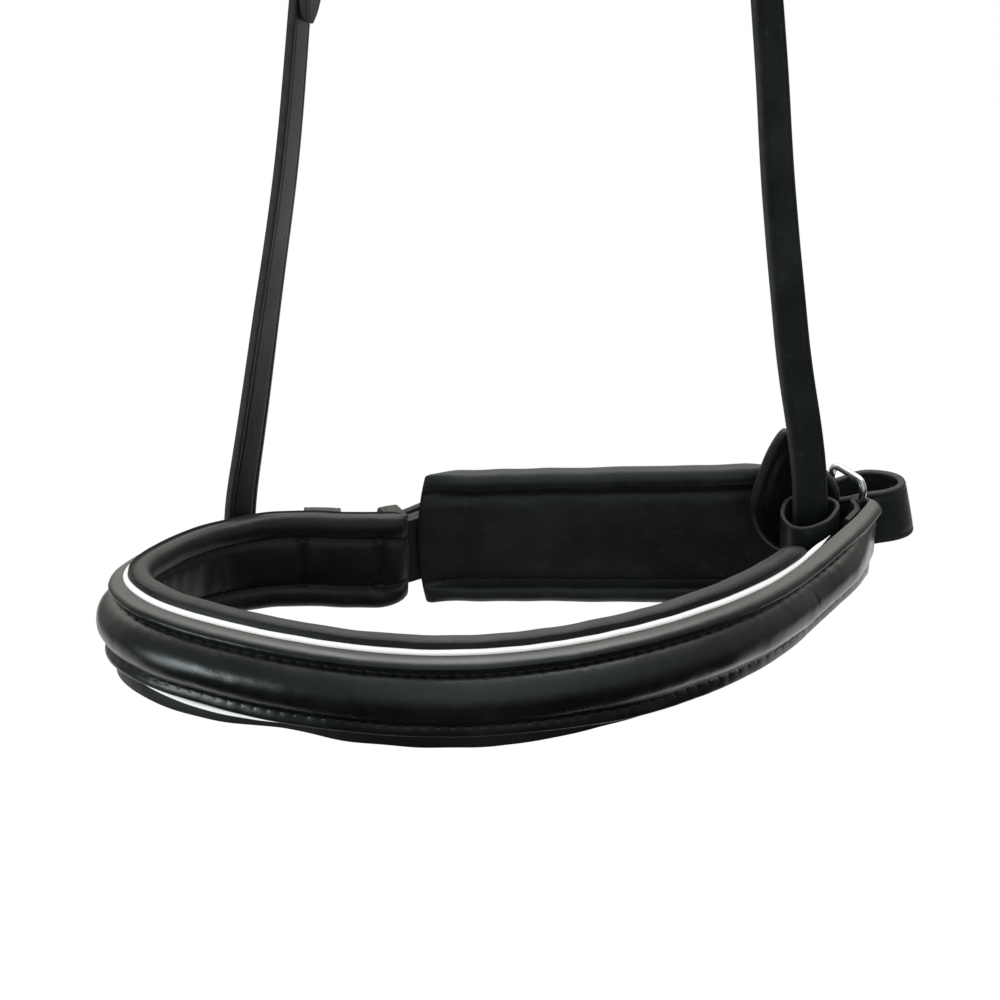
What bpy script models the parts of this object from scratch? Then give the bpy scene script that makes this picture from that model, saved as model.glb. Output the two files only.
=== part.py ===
"""Crank noseband of a bridle: padded nosepiece, ring and crank strap, chin pad, headstall.

Everything is modelled around a datum level with the top of the nosepiece lining.
The datum empty then moves the whole set down, so that the world origin is the
underside of the headstall's crown, where the noseband hangs over the poll.
X runs across the nosepiece to its ring end, -Y is the front, Z is up.
"""

import math

import bmesh
import bpy
import numpy as np
from mathutils import Matrix, Vector

MM = 0.001
UP = Vector((0, 0, 1))
GAP = 0.3 * MM
# A curve's own tilt turns the other way round its path from the lean used here
TILT_SIGN = -1

# Nosepiece: plan of the seam between lining and cover, from the crank end to the ring end
SEAM_PLAN = [
    (-18.5, 9.8), (-24, 8.0), (-29, 4.9), (-34, 1.4), (-39, -0.3), (-46, -0.8), (-58, -0.8), (-73, -1.8),
    (-88, -6.3), (-101, -13.5), (-113, -24), (-122.5, -36.5), (-127.5, -50), (-121, -66.5),
    (-97, -85.5), (-60, -102), (-20, -109.5), (20, -103), (62, -82), (95, -53), (114, -24),
    (123, -7.5), (127.9, 3.6),
]
SEAM_STEP = 3.1 * MM
SEAM_FINE = 15
CRANK_END_DROP = 3.0 * MM
LEVEL_FROM = Vector((-117, -29)) * MM
LINING_LEFT = Vector((-34.4, 1.4)) * MM
LINING_RIGHT = Vector((110, -31)) * MM
COVER_LEFT = Vector((-103, -15)) * MM
PIPING_RIGHT = Vector((114, -24)) * MM
BAND_MIDDLE = -18.0 * MM
# Lean of the band about its top seam, positive where the lower edge stands out
LEAN_PIVOT = -4.0 * MM
LEAN_FRONT = 0.105
LEAN_RING_END = -0.10

# Leather and cord thicknesses
BACKING_THICKNESS = 2.2 * MM
COVER_THICKNESS = 2.1 * MM
COVER_TOP = -3.6 * MM
COVER_BOTTOM = -32.4 * MM
COVER_INNER = 1.5 * MM
RAISED_HALF = 7.6 * MM
RAISED_MIDDLE = -19.3 * MM
RAISED_HEIGHT = 5.2 * MM
MARGIN_RISE = 0.7 * MM
RAISED_FADE_LEFT = 48.0 * MM
RAISED_FADE_RIGHT = 30.0 * MM
PIPING_RADIUS = 1.25 * MM
PIPING_TOP = -3.0 * MM
PIPING_BOTTOM = -34.0 * MM

# Ring and its window
RING_WIRE = 1.4 * MM
RING_WINDOW = 14.0 * MM
RING_TOP = 3.6 * MM
RING_BOTTOM = -37.0 * MM
RING_DIRECTION = Vector((-0.6, 0.8, 0))
NEAR_BAR_OFFSET = RING_WIRE + 2 * GAP + BACKING_THICKNESS / 2

# Crank strap
CRANK_THICKNESS = 3.0 * MM
CRANK_WIDTH = 20.0 * MM
CRANK_LEVEL = -17.0 * MM
CRANK_RISE = 0.0158
CRANK_HEEL = Vector((-12, 18.8)) * MM
CRANK_TOE = Vector((6, 22.3)) * MM
CRANK_WIRE = 1.4 * MM
ROLLER_RADIUS = 2.4 * MM
CHAPE_THICKNESS = 1.5 * MM

# Chin pad: a straight line from its left to its right end, at the front of its rims
PAD_LEFT = Vector((-27.0, 1.5)) * MM
PAD_RIGHT = Vector((92.6, 8.5)) * MM
PAD_LEVEL_LEFT = -16.7 * MM
PAD_LEVEL_RIGHT = -19.2 * MM
PAD_HEIGHT_LEFT = 51.0 * MM
PAD_HEIGHT_RIGHT = 55.0 * MM
PAD_DEPTH = 8.5 * MM
PAD_BACK_PANEL = 6.5 * MM
PAD_END_DEPTH = 2.8 * MM
PAD_END_LENGTH = 14.0 * MM
PAD_BACKING_THICKNESS = 1.6 * MM
INNER_LEG = 10.6
OUTER_LEG = 14.6
LOOP_WALL = 1.6 * MM
LOOP_WIDTH = 14.0 * MM

# Headstall straps: (x, z) down each side, width direction as an angle from +X
STRAP_THICKNESS = 3.2 * MM
STRAP_WIDTH = 13.0 * MM
STRAP_STEP = 9.0 * MM
STRAP_FOOT = -27.0 * MM
CROWN_X = 10.5 * MM
CROWN_RADIUS = 56.0 * MM
CROWN_TOP = 486.0 * MM
LEFT_STRAP_Y = 3.6 * MM
RIGHT_STRAP_Y = -7.9 * MM
CROWN_Y = -5.0 * MM
LEFT_SIDE = [(-91.8, -27), (-91.3, -6), (-88.0, 17), (-78.8, 77), (-72.3, 120), (-65.6, 183), (-57.2, 260)]
RIGHT_SIDE = [(107.4, -27), (107.4, 12), (102.9, 42), (95.2, 101), (89.8, 157), (84, 220), (77, 300)]
TIP_Z = 175.5 * MM
HEAD_HEEL_Z = 252.0 * MM
HEAD_WIRE = 1.1 * MM
HEAD_LENGTH = 17.0 * MM

# Placement of the datum under the crown
DATUM = Vector((-CROWN_X, -CROWN_Y, -(CROWN_TOP - STRAP_THICKNESS / 2)))

PARTS = None
GUIDES = None
BASE = None


def mm(points):
    return [Vector(point) * MM for point in points]


def start_scene():
    """Empty the scene and make the collections and the datum."""
    global PARTS, GUIDES, BASE
    for item in list(bpy.data.objects):
        bpy.data.objects.remove(item)
    PARTS = bpy.data.collections.new("crank_noseband")
    GUIDES = bpy.data.collections.new("guides_and_cutters")
    bpy.context.scene.collection.children.link(PARTS)
    bpy.context.scene.collection.children.link(GUIDES)
    BASE = bpy.data.objects.new("noseband_datum", None)
    BASE.location = DATUM
    PARTS.objects.link(BASE)


def finish(name, colour, roughness, metallic=0.0):
    material = bpy.data.materials.new(name)
    material.use_nodes = True
    shader = material.node_tree.nodes["Principled BSDF"]
    shader.inputs["Base Color"].default_value = (*colour, 1)
    shader.inputs["Roughness"].default_value = roughness
    shader.inputs["Metallic"].default_value = metallic
    return material


def add_part(name, data, material, frame=None):
    """Link a named object under the datum, placed by an optional frame."""
    item = bpy.data.objects.new(name, data)
    PARTS.objects.link(item)
    item.parent = BASE
    if frame is not None:
        item.matrix_local = frame
    if len(data.materials) == 0:
        data.materials.append(material)
    return item


def add_guide(name, data, frame=None):
    item = bpy.data.objects.new(name, data)
    GUIDES.objects.link(item)
    item.hide_render = True
    item.display_type = "WIRE"
    item.parent = BASE
    if frame is not None:
        item.matrix_local = frame
    return item


# Curves and frames


def smooth_line(points, step):
    """Evenly spaced points on a natural cubic through the given points."""
    knots = np.array([tuple(point) for point in points], float)
    chord = np.concatenate([[0], np.cumsum(np.linalg.norm(np.diff(knots, axis=0), axis=1))])
    count = len(knots)
    gaps = np.diff(chord)
    system = np.eye(count)
    right = np.zeros(knots.shape)
    for i in range(1, count - 1):
        system[i, i - 1] = gaps[i - 1]
        system[i, i] = 2 * (gaps[i - 1] + gaps[i])
        system[i, i + 1] = gaps[i]
        slope_after = (knots[i + 1] - knots[i]) / gaps[i]
        slope_before = (knots[i] - knots[i - 1]) / gaps[i - 1]
        right[i] = 6 * (slope_after - slope_before)
    bend = np.linalg.solve(system, right)
    fine = []
    for i in range(count - 1):
        for t in np.linspace(0, 1, 24, endpoint=False):
            a = 1 - t
            cubic = (a ** 3 - a) * bend[i] + (t ** 3 - t) * bend[i + 1]
            fine.append(a * knots[i] + t * knots[i + 1] + gaps[i] ** 2 / 6 * cubic)
    fine.append(knots[-1])
    fine = np.array(fine)
    length = np.concatenate([[0], np.cumsum(np.linalg.norm(np.diff(fine, axis=0), axis=1))])
    places = np.linspace(0, length[-1], max(2, round(length[-1] / step) + 1))
    columns = [np.interp(places, length, fine[:, k]) for k in range(fine.shape[1])]
    return [Vector(row) for row in np.array(columns).T]


def direction_at(path, i):
    before = path[max(i - 1, 0)]
    after = path[min(i + 1, len(path) - 1)]
    return (after - before).normalized()


def outward_at(path, i):
    """Plan normal to the right of the path's direction."""
    along = direction_at(path, i)
    return Vector((along.y, -along.x, 0)).normalized()


def nearest(path, place):
    return min(range(len(path)), key=lambda i: (path[i].xy - place).length)


def lengths_along(path):
    steps = [(b - a).length for a, b in zip(path, path[1:])]
    return [sum(steps[:i]) for i in range(len(path))]


def ease(t):
    t = min(max(t, 0.0), 1.0)
    return t * t * (3 - 2 * t)


def rounded_ends(path, radius, half):
    """Scale factors that round both ends of a band in elevation."""
    along = lengths_along(path)
    factors = []
    for place in along:
        depth = min(place, along[-1] - place)
        t = min(depth / radius, 1.0)
        factors.append(1 - radius / half * (1 - math.sqrt(1 - (1 - t) ** 2)))
    return factors


def upright_frame(place, along, level):
    """X along the strap, Y up, Z outward to the right of X."""
    across = Vector((along.y, -along.x, 0)).normalized()
    columns = Matrix((along.normalized(), UP, across)).transposed().to_4x4()
    return Matrix.Translation((place.x, place.y, level)) @ columns


# Solids


def poly_spline(curve, points, cyclic, radii=None, tilts=None):
    spline = curve.splines.new("POLY")
    spline.points.add(len(points) - 1)
    for i, point in enumerate(points):
        flat = Vector(point).to_3d()
        spline.points[i].co = (*flat, 1)
        if radii is not None:
            spline.points[i].radius = radii[i]
        if tilts is not None:
            spline.points[i].tilt = tilts[i]
    spline.use_cyclic_u = cyclic


def band(name, path, profile, material, radii=None, tilts=None):
    """A profile (outward, up) swept along a path that lies nearly in plan."""
    outline = bpy.data.curves.new(name + "_profile", "CURVE")
    outline.dimensions = "2D"
    poly_spline(outline, profile, True)
    guide = add_guide(name + "_profile", outline)
    line = bpy.data.curves.new(name, "CURVE")
    line.dimensions = "3D"
    line.twist_mode = "Z_UP"
    line.bevel_mode = "OBJECT"
    line.bevel_object = guide
    line.use_fill_caps = True
    poly_spline(line, path, False, radii, tilts)
    return add_part(name, line, material)


def cord(name, path, radius, material, cyclic=False, sides=2, frame=None):
    """A round wire or cord along a path."""
    line = bpy.data.curves.new(name, "CURVE")
    line.dimensions = "3D"
    line.bevel_depth = radius
    line.bevel_resolution = sides
    line.use_fill_caps = not cyclic
    poly_spline(line, path, cyclic)
    return add_part(name, line, material, frame)


def sheet(name, rows, thickness, material, offset=0.0):
    """A grid of points, rows along and columns across, thickened to leather."""
    along = len(rows) - 1
    across = len(rows[0]) - 1
    shape = bmesh.new()
    bmesh.ops.create_grid(shape, x_segments=across, y_segments=along, size=1)
    for vertex in shape.verts:
        column = round((vertex.co.x + 1) / 2 * across)
        row = round((vertex.co.y + 1) / 2 * along)
        vertex.co = rows[row][column]
    data = bpy.data.meshes.new(name)
    shape.to_mesh(data)
    shape.free()
    item = add_part(name, data, material)
    wall = item.modifiers.new("thickness", "SOLIDIFY")
    wall.thickness = thickness
    wall.offset = offset
    return item


def plate(name, outlines, thickness, material, frame):
    """A flat outline, with any holes, thickened about its own plane."""
    curve = bpy.data.curves.new(name, "CURVE")
    curve.dimensions = "2D"
    curve.fill_mode = "BOTH"
    curve.extrude = thickness / 2
    for outline in outlines:
        poly_spline(curve, outline, True)
    return add_part(name, curve, material, frame)


def padded_leaf(name, outline, centre, layers, place, material):
    """A closed cushion: rings of the outline drawn in to the centre, with a depth for each."""
    shape = bmesh.new()
    bmesh.ops.create_uvsphere(shape, u_segments=len(outline), v_segments=len(layers) - 1, radius=1)
    for vertex in shape.verts:
        polar = math.acos(max(-1.0, min(1.0, vertex.co.z)))
        layer = round(polar / math.pi * (len(layers) - 1))
        turn = math.atan2(vertex.co.y, vertex.co.x) % (2 * math.pi)
        edge = outline[round(turn / (2 * math.pi) * len(outline)) % len(outline)]
        spread, depth = layers[layer]
        vertex.co = place(centre + (edge - centre) * spread, depth)
    bmesh.ops.recalc_face_normals(shape, faces=shape.faces)
    data = bpy.data.meshes.new(name)
    shape.to_mesh(data)
    shape.free()
    data.shade_smooth()
    return add_part(name, data, material)


def as_mesh(item):
    """Replace a curve part by its mesh, with its end caps welded on."""
    name = item.name
    data = bpy.data.meshes.new_from_object(item.evaluated_get(bpy.context.evaluated_depsgraph_get()))
    shape = bmesh.new()
    shape.from_mesh(data)
    bmesh.ops.remove_doubles(shape, verts=shape.verts, dist=0.00001)
    bmesh.ops.recalc_face_normals(shape, faces=shape.faces)
    shape.to_mesh(data)
    shape.free()
    frame = item.matrix_local.copy()
    material = item.data.materials[0]
    bpy.data.objects.remove(item)
    data.materials.clear()
    solid = add_part(name, data, material, frame)
    return solid


def cut_slot(item, frame, size):
    """Cut a box-shaped slot out of a part."""
    shape = bmesh.new()
    bmesh.ops.create_cube(shape, size=1)
    bmesh.ops.scale(shape, vec=size, verts=shape.verts)
    data = bpy.data.meshes.new(item.name + "_slot")
    shape.to_mesh(data)
    shape.free()
    cutter = add_guide(item.name + "_slot", data, frame)
    cut = item.modifiers.new("slot", "BOOLEAN")
    cut.object = cutter
    cut.operation = "DIFFERENCE"


def arc(centre, radius, start, end, count):
    """Points on an arc in the plane, angles in degrees."""
    angles = [math.radians(start + (end - start) * i / (count - 1)) for i in range(count)]
    return [Vector((centre[0] + radius * math.cos(a), centre[1] + radius * math.sin(a))) for a in angles]


def rounded_box(x0, x1, y0, y1, radius, count=4):
    """Counter-clockwise outline of a rectangle with round corners."""
    points = []
    corners = [(x1, y1, 0), (x0, y1, 90), (x0, y0, 180), (x1, y0, 270)]
    for x, y, turn in corners:
        cx = x - radius if x == x1 else x + radius
        cy = y - radius if y == y1 else y + radius
        points.extend(arc((cx, cy), radius, turn, turn + 90, count))
    return points


def keeper_outline(depth, height, wall):
    """A C-shaped section, open towards the piece it is sewn to: x outward, y up."""
    half = height / 2
    corner = wall * 1.2
    far = depth + wall - corner
    outer = [Vector((0, -half - wall)), *arc((far, -half - wall + corner), corner, -90, 0, 4)]
    outer += [*arc((far, half + wall - corner), corner, 0, 90, 4), Vector((0, half + wall))]
    inner = [Vector((0, half)), Vector((depth, half)), Vector((depth, -half)), Vector((0, -half))]
    return outer + inner


def keeper(name, place, along, level, depth, height, wall, width, material):
    """A leather keeper across a strap, standing out from the plan point given."""
    along = along.normalized()
    outward = Vector((along.y, -along.x, 0))
    frame = Matrix((outward, UP, -along)).transposed().to_4x4()
    frame = Matrix.Translation((place.x, place.y, level)) @ frame
    return plate(name, [keeper_outline(depth, height, wall)], width, material, frame)


# Shared lines of the nosepiece


def seam_line():
    """The seam in space: level in front, dropping a little at the crank end."""
    fine = smooth_line(mm([(x, y, 0) for x, y in SEAM_PLAN]), SEAM_STEP)
    path = fine[:SEAM_FINE] + fine[SEAM_FINE:-1:2] + fine[-1:]
    level_from = nearest(path, LEVEL_FROM)
    along = lengths_along(path)
    for i in range(level_from):
        path[i].z = -CRANK_END_DROP * ease(1 - along[i] / along[level_from])
    return path


def lean_at(point):
    """Lean of the band's section at a plan point: none on the crank side."""
    if point.y > -26 * MM and point.x < 0:
        return LEAN_FRONT * ease((-74 * MM - point.x) / (38 * MM))
    return LEAN_FRONT + (LEAN_RING_END - LEAN_FRONT) * ease((point.x - 40 * MM) / (78 * MM))


def leaned(path, i, outward, height):
    """A point of the band's section, given outward of the seam and in height."""
    lean = lean_at(path[i])
    depth = height - LEAN_PIVOT
    across = outward * math.cos(lean) - depth * math.sin(lean)
    rise = depth * math.cos(lean) + outward * math.sin(lean)
    return path[i] + outward_at(path, i) * across + Vector((0, 0, LEAN_PIVOT + rise))


def swept_band(name, path, section, base, material, radii=None):
    """Sweep a section, points (outward, height) in mm, along a leaned line of the band."""
    line = [leaned(path, i, base * MM, BAND_MIDDLE) for i in range(len(path))]
    profile = [Vector(((o - base) * MM, z * MM - BAND_MIDDLE)) for o, z in section]
    tilts = [TILT_SIGN * lean_at(point) for point in path]
    return band(name, line, profile, material, radii, tilts)


# Nosepiece


def make_lining(seam, leather):
    path = seam[nearest(seam, LINING_LEFT):nearest(seam, LINING_RIGHT) + 1]
    section = [
        (-1.7, -4.0), (-2.6, -1.2), (-5.2, 0), (-8.2, -0.8), (-9.7, -3.8), (-9.2, -6.8),
        (-7.2, -8.8), (-8.6, -11), (-9.2, -15), (-9.2, -21), (-8.6, -25), (-7.2, -27.2),
        (-9.2, -29.2), (-9.7, -32.2), (-8.2, -35.2), (-5.2, -36), (-2.6, -34.8), (-1.7, -32),
    ]
    radii = rounded_ends(path, 4 * MM, 18 * MM)
    swept_band("nosepiece_lining", path, list(reversed(section)), -1.7, leather, radii)


def near_bar(seam):
    """Plan point of the ring's near bar and the seam's direction there."""
    last = len(seam) - 1
    return seam[last] - outward_at(seam, last) * NEAR_BAR_OFFSET, direction_at(seam, last)


def tilted_up(seam):
    """The band's own up direction at the ring end."""
    last = len(seam) - 1
    return (UP - outward_at(seam, last) * math.tan(lean_at(seam[last]))).normalized()


def make_backing(seam, leather):
    """Flat strap along the seam, folded round the ring's near bar and back inside."""
    pivot, along = near_bar(seam)
    side = outward_at(seam, len(seam) - 1)
    turn = []
    for angle in range(30, 181, 30):
        a = math.radians(angle)
        turn.append(pivot + side * (math.cos(a) * NEAR_BAR_OFFSET) + along * (math.sin(a) * NEAR_BAR_OFFSET))
    inner = -(BACKING_THICKNESS + GAP + 0.1 * MM)
    last = len(seam) - 1
    back = [seam[last - 1] + outward_at(seam, last - 1) * (inner - 1.3 * MM)]
    back.append(seam[last - 2] + outward_at(seam, last - 2) * inner)
    back[-1] = back[-1].lerp(back[0], 0.35)
    path = seam + turn + back
    up = tilted_up(seam)
    line = []
    tilts = []
    for i, point in enumerate(path):
        lean = lean_at(point)
        if i < len(seam):
            line.append(leaned(path, i, 0, BAND_MIDDLE))
            tilts.append(TILT_SIGN * lean)
        else:
            line.append(point + Vector((0, 0, LEAN_PIVOT)) + up * (BAND_MIDDLE - LEAN_PIVOT))
            along_now = direction_at(path, i)
            right = outward_at(path, i)
            tilts.append(TILT_SIGN * -math.atan2(up.dot(right), up.z))
    half = BACKING_THICKNESS / 2
    high = -5.0 * MM - BAND_MIDDLE
    low = -31.0 * MM - BAND_MIDDLE
    profile = [Vector((half, high)), Vector((-half, high)), Vector((-half, low)), Vector((half, low))]
    band("nosepiece_backing_strap", line, list(reversed(profile)), leather, None, tilts)


def raise_at(place, total):
    """How far the raised centre stands out, as a share, along the cover."""
    return ease(place / RAISED_FADE_LEFT) * ease((total - place) / RAISED_FADE_RIGHT)


def bulge(t):
    return max(0.0, 1 - t * t) ** 0.62


def make_cover(seam, leather):
    path = seam[nearest(seam, COVER_LEFT):]
    along = lengths_along(path)
    shares = [-1.0, -0.86, -0.62, -0.32, 0.0, 0.32, 0.62, 0.86, 1.0]
    rows = []
    for i in range(len(path)):
        share = raise_at(along[i], along[-1])
        rise = share * RAISED_HEIGHT
        margin = share * MARGIN_RISE
        heights = [(COVER_TOP, 0.0), (COVER_TOP - 1.2 * MM, margin), (COVER_TOP - 3.6 * MM, margin)]
        heights.append((RAISED_MIDDLE + RAISED_HALF + 1.9 * MM, 0.1 * MM))
        for share in shares:
            heights.append((RAISED_MIDDLE - share * RAISED_HALF, rise * bulge(share)))
        heights.append((RAISED_MIDDLE - RAISED_HALF - 1.7 * MM, 0.1 * MM))
        heights.append((COVER_BOTTOM + 1.8 * MM, margin / 2))
        heights.append((COVER_BOTTOM, 0.0))
        rows.append([leaned(path, i, COVER_INNER + stand, height) for height, stand in heights])
    sheet("nosepiece_cover", rows, COVER_THICKNESS, leather, offset=1.0)


def make_padding(seam, foam):
    """The filling under the raised centre, tapering out before the cover's ends."""
    path = seam[nearest(seam, COVER_LEFT):]
    along = lengths_along(path)
    inset = 14 * MM
    kept = [i for i in range(len(path)) if inset < along[i] < along[-1] - inset]
    radii = [max(0.12, raise_at(along[i], along[-1])) for i in kept]
    line = [leaned(path, i, COVER_INNER, RAISED_MIDDLE) for i in kept]
    tilts = [TILT_SIGN * lean_at(path[i]) for i in kept]
    half = RAISED_HALF - 1.4 * MM
    low = 0.4 * MM
    profile = [Vector((low, -half))]
    for share in (-0.8, -0.5, 0.0, 0.5, 0.8):
        profile.append(Vector((max(low, RAISED_HEIGHT * bulge(share) - 0.9 * MM), half * share)))
    profile.append(Vector((low, half)))
    band("raised_padding", line, list(reversed(profile)), foam, radii, tilts)


def make_piping(seam, cotton):
    path = seam[nearest(seam, COVER_LEFT):nearest(seam, PIPING_RIGHT) + 1]
    for name, height in (("upper_piping", PIPING_TOP), ("lower_piping", PIPING_BOTTOM)):
        line = [leaned(path, i, -0.15 * MM, height) for i in range(len(path))]
        cord(name, line, PIPING_RADIUS, cotton)


# Ring end


def make_ring(seam, metal):
    """Rectangular wire ring with its origin on the near bar."""
    pivot, _ = near_bar(seam)
    up = tilted_up(seam)
    width = RING_WINDOW + 2 * RING_WIRE
    low = RING_BOTTOM + RING_WIRE
    high = RING_TOP - RING_WIRE
    half = (high - low) / 2
    outline = rounded_box(0, width, -half, half, 4 * MM)
    across = (RING_DIRECTION - up * RING_DIRECTION.dot(up)).normalized()
    place = pivot + Vector((0, 0, LEAN_PIVOT)) + up * ((high + low) / 2 - LEAN_PIVOT)
    frame = Matrix((across, up, across.cross(up))).transposed().to_4x4()
    frame = Matrix.Translation(place) @ frame
    cord("right_ring", [Vector((p.x, p.y, 0)) for p in outline], RING_WIRE, metal, True, 2, frame)


def sleeve(name, centre, long_axis, front, back, half_width, wall, bottom, top, leather):
    """Upright leather sleeve: an egg-shaped tube, its long axis along the nosepiece."""
    outlines = []
    for inset in (0.0, wall):
        outline = []
        for i in range(28):
            a = 2 * math.pi * i / 28
            reach = (back if math.cos(a) > 0 else front) - inset
            outline.append(Vector((reach * math.cos(a), (half_width - inset) * math.sin(a))))
        outlines.append(outline)
    turn = math.atan2(long_axis.y, long_axis.x)
    middle = Vector((centre.x, centre.y, (top + bottom) / 2))
    frame = Matrix.Translation(middle) @ Matrix.Rotation(turn, 4, "Z")
    plate(name, outlines, top - bottom, leather, frame)


def make_sleeves(leather):
    right = Vector((108, -5.5)) * MM
    sleeve("right_hanger_loop", right, Vector((0.3, 0.954)), 19.5 * MM, 8.5 * MM, 9.2 * MM,
           2.2 * MM, -33 * MM, 1 * MM, leather)
    left = Vector((-91.5, 4.2)) * MM
    sleeve("left_hanger_loop", left, Vector((0.78, 0.62)), 11.2 * MM, 11.2 * MM, 7.0 * MM,
           1.8 * MM, -34 * MM, -12 * MM, leather)


def make_guard(leather):
    """Padded leaf behind the right hanger loop, bent along a plan curve."""
    plan = smooth_line(mm([(88, -0.5, 0), (97, 4, 0), (105, 7, 0), (112, 8.4, 0), (119, 7.6, 0)]), 1 * MM)
    along = lengths_along(plan)
    edge = mm([
        (33, -5, 0), (32, 1, 0), (26, 8, 0), (19.5, 16, 0), (15, 23.4, 0), (11.5, 24.8, 0), (6.4, 18, 0),
        (2.4, 8, 0), (0, -3, 0), (3.5, -14, 0), (12, -22, 0), (22, -23, 0), (30, -15, 0), (33, -5, 0),
    ])
    outline = smooth_line(edge, 5.2 * MM)[:-1]
    layers = [
        (0.0, -1.9), (0.4, -1.9), (0.66, -1.7), (0.76, -1.1), (0.88, -2.5), (0.97, -1.9),
        (1.0, 0.0), (0.95, 1.9), (0.6, 2.2), (0.0, 2.2),
    ]

    def place(point, depth):
        distance = min(max(point.x, 0), along[-1])
        i = min(range(len(along)), key=lambda k: abs(along[k] - distance))
        inward = -outward_at(plan, i)
        along_by = direction_at(plan, i) * (point.x - along[i])
        return plan[i] + along_by + inward * (depth * MM) + Vector((0, 0, point.y))

    padded_leaf("right_guard", outline, Vector((16, 0, 0)) * MM, layers, place, leather)


# Chin pad


def pad_along():
    return (PAD_RIGHT - PAD_LEFT).to_3d().normalized()


def pad_point(distance, depth):
    """Plan point at a distance from the pad's left end and a depth behind its front."""
    along = pad_along()
    behind = Vector((-along.y, along.x, 0))
    return PAD_LEFT.to_3d() + along * distance + behind * depth


def pad_level(distance):
    return PAD_LEVEL_LEFT + (PAD_LEVEL_RIGHT - PAD_LEVEL_LEFT) * distance / (PAD_RIGHT - PAD_LEFT).length


def crank_level(x):
    return CRANK_LEVEL + CRANK_RISE * x


def make_chin_cushion(leather):
    """Padded front: rolled rims, a groove inside each, and a crowned panel between."""
    length = (PAD_RIGHT - PAD_LEFT).length
    middle = 4.0 * MM
    stations = [0, 1.2, 3, 6, 10, 14]
    stations = [s * MM for s in stations]
    count = 12
    inner = [PAD_END_LENGTH + (length - 2 * PAD_END_LENGTH) * i / count for i in range(1, count)]
    distances = stations + inner + [length - s for s in reversed(stations)]
    path = [pad_point(d, middle) + Vector((0, 0, pad_level(d))) for d in distances]
    half = PAD_HEIGHT_LEFT / 2
    growth = PAD_HEIGHT_RIGHT / PAD_HEIGHT_LEFT - 1
    corner = 2.8 * MM
    radii = []
    for d in distances:
        depth = min(d, length - d)
        t = min(depth / corner, 1.0)
        rounding = 1 - corner / half * (1 - math.sqrt(1 - (1 - t) ** 2))
        radii.append(rounding * (1 + growth * d / length))
    upper = [
        (1.6, 0), (1.9, 7), (3.0, 12.5), (3.9, 14.6), (2.2, 16.0), (0.4, 18.2), (0.2, 21.4), (2.0, 24.2),
        (4.6, 25), (7.2, 23.9), (8.5, 21), (7.9, 18), (6.5, 16), (6.5, 0),
    ]
    lower = [(depth, -height) for depth, height in upper[1:-1]]
    profile = [Vector((middle / MM - d, h)) * MM for d, h in upper + list(reversed(lower))]
    solid = as_mesh(band("chin_pad_cushion", path, list(reversed(profile)), leather, radii))
    along = pad_along()
    behind = Vector((-along.y, along.x, 0))
    for vertex in solid.data.vertices:
        offset = vertex.co - PAD_LEFT.to_3d()
        distance = offset.dot(along)
        depth = offset.dot(behind)
        near_end = 1 - ease(min(distance, length - distance) / PAD_END_LENGTH)
        thin = 1 - near_end * (1 - PAD_END_DEPTH / PAD_DEPTH)
        vertex.co += behind * (depth * thin - depth)
    solid.data.shade_smooth()


def make_chin_backing(leather):
    """Flat leather let in behind the cushion, which the loops are sewn to."""
    length = (PAD_RIGHT - PAD_LEFT).length - 2 * PAD_END_LENGTH
    height = 13.5 * MM
    outline = rounded_box(-length / 2, length / 2, -height, height, 3 * MM)
    place = pad_point(PAD_END_LENGTH + length / 2, PAD_BACK_PANEL + GAP + PAD_BACKING_THICKNESS / 2)
    frame = upright_frame(place, pad_along(), crank_level(place.x))
    plate("chin_pad_backing", [outline], PAD_BACKING_THICKNESS, leather, frame)


def make_chin_loops(leather):
    start = PAD_BACK_PANEL + 2 * GAP + PAD_BACKING_THICKNESS
    depth = OUTER_LEG * MM + CRANK_THICKNESS / 2 + 0.5 * MM - start
    height = CRANK_WIDTH + 1.0 * MM
    for name, distance in (("left_strap_loop", 50 * MM), ("right_strap_loop", 90 * MM)):
        place = pad_point(distance, start)
        level = crank_level(place.x)
        keeper(name, place, -pad_along(), level, depth, height, LOOP_WALL, LOOP_WIDTH, leather)


# Crank strap and buckle


def beside(seam, left, right, offset):
    """Plan points beside the crank end of the seam, from left to right."""
    points = []
    for i in range(len(seam)):
        if left * MM <= seam[i].x <= right * MM and seam[i].y > -12 * MM:
            points.append(seam[i].xy + outward_at(seam, i).xy * (offset * MM))
    return list(reversed(points))


def crank_line(seam):
    """Plan line of the crank strap: sewn end, pad, ring, turn, buckle, tip."""
    sewn = beside(seam, -49, -18, 2.95)
    inner = [pad_point(d * MM, INNER_LEG * MM).xy for d in (16, 27, 40, 53, 66, 79, 92, 105)]
    bends = [(90, 18.8), (101, 17.7), (110.5, 15.2), (119, 12.5), (128, 11.5), (135, 11.6), (141, 13.4)]
    bends += [(145.6, 17.2), (146.8, 21.8), (144.6, 26.4), (139, 29.4), (131, 30.1), (121, 28.5), (111, 26.2)]
    outer = [pad_point(d * MM, OUTER_LEG * MM).xy for d in (122, 109, 96, 83, 70, 57, 46, 36)]
    buckle = [(4.2, 18.1), (-1.8, 20.5), (-6.6, 23.3), (-12, 24.6), (-17.8, 22.9), (-23, 19.8), (-28, 16.4)]
    stack = [(-33.5, 12.3), (-38.1, 9.3), (-44, 8.0)]
    end = [(-52, 6.5), (-61, 4.8), (-78, 2.4)]
    flat = sewn + inner + mm(bends) + outer + mm(buckle + stack + end)
    return [point.to_3d() for point in flat]


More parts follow.
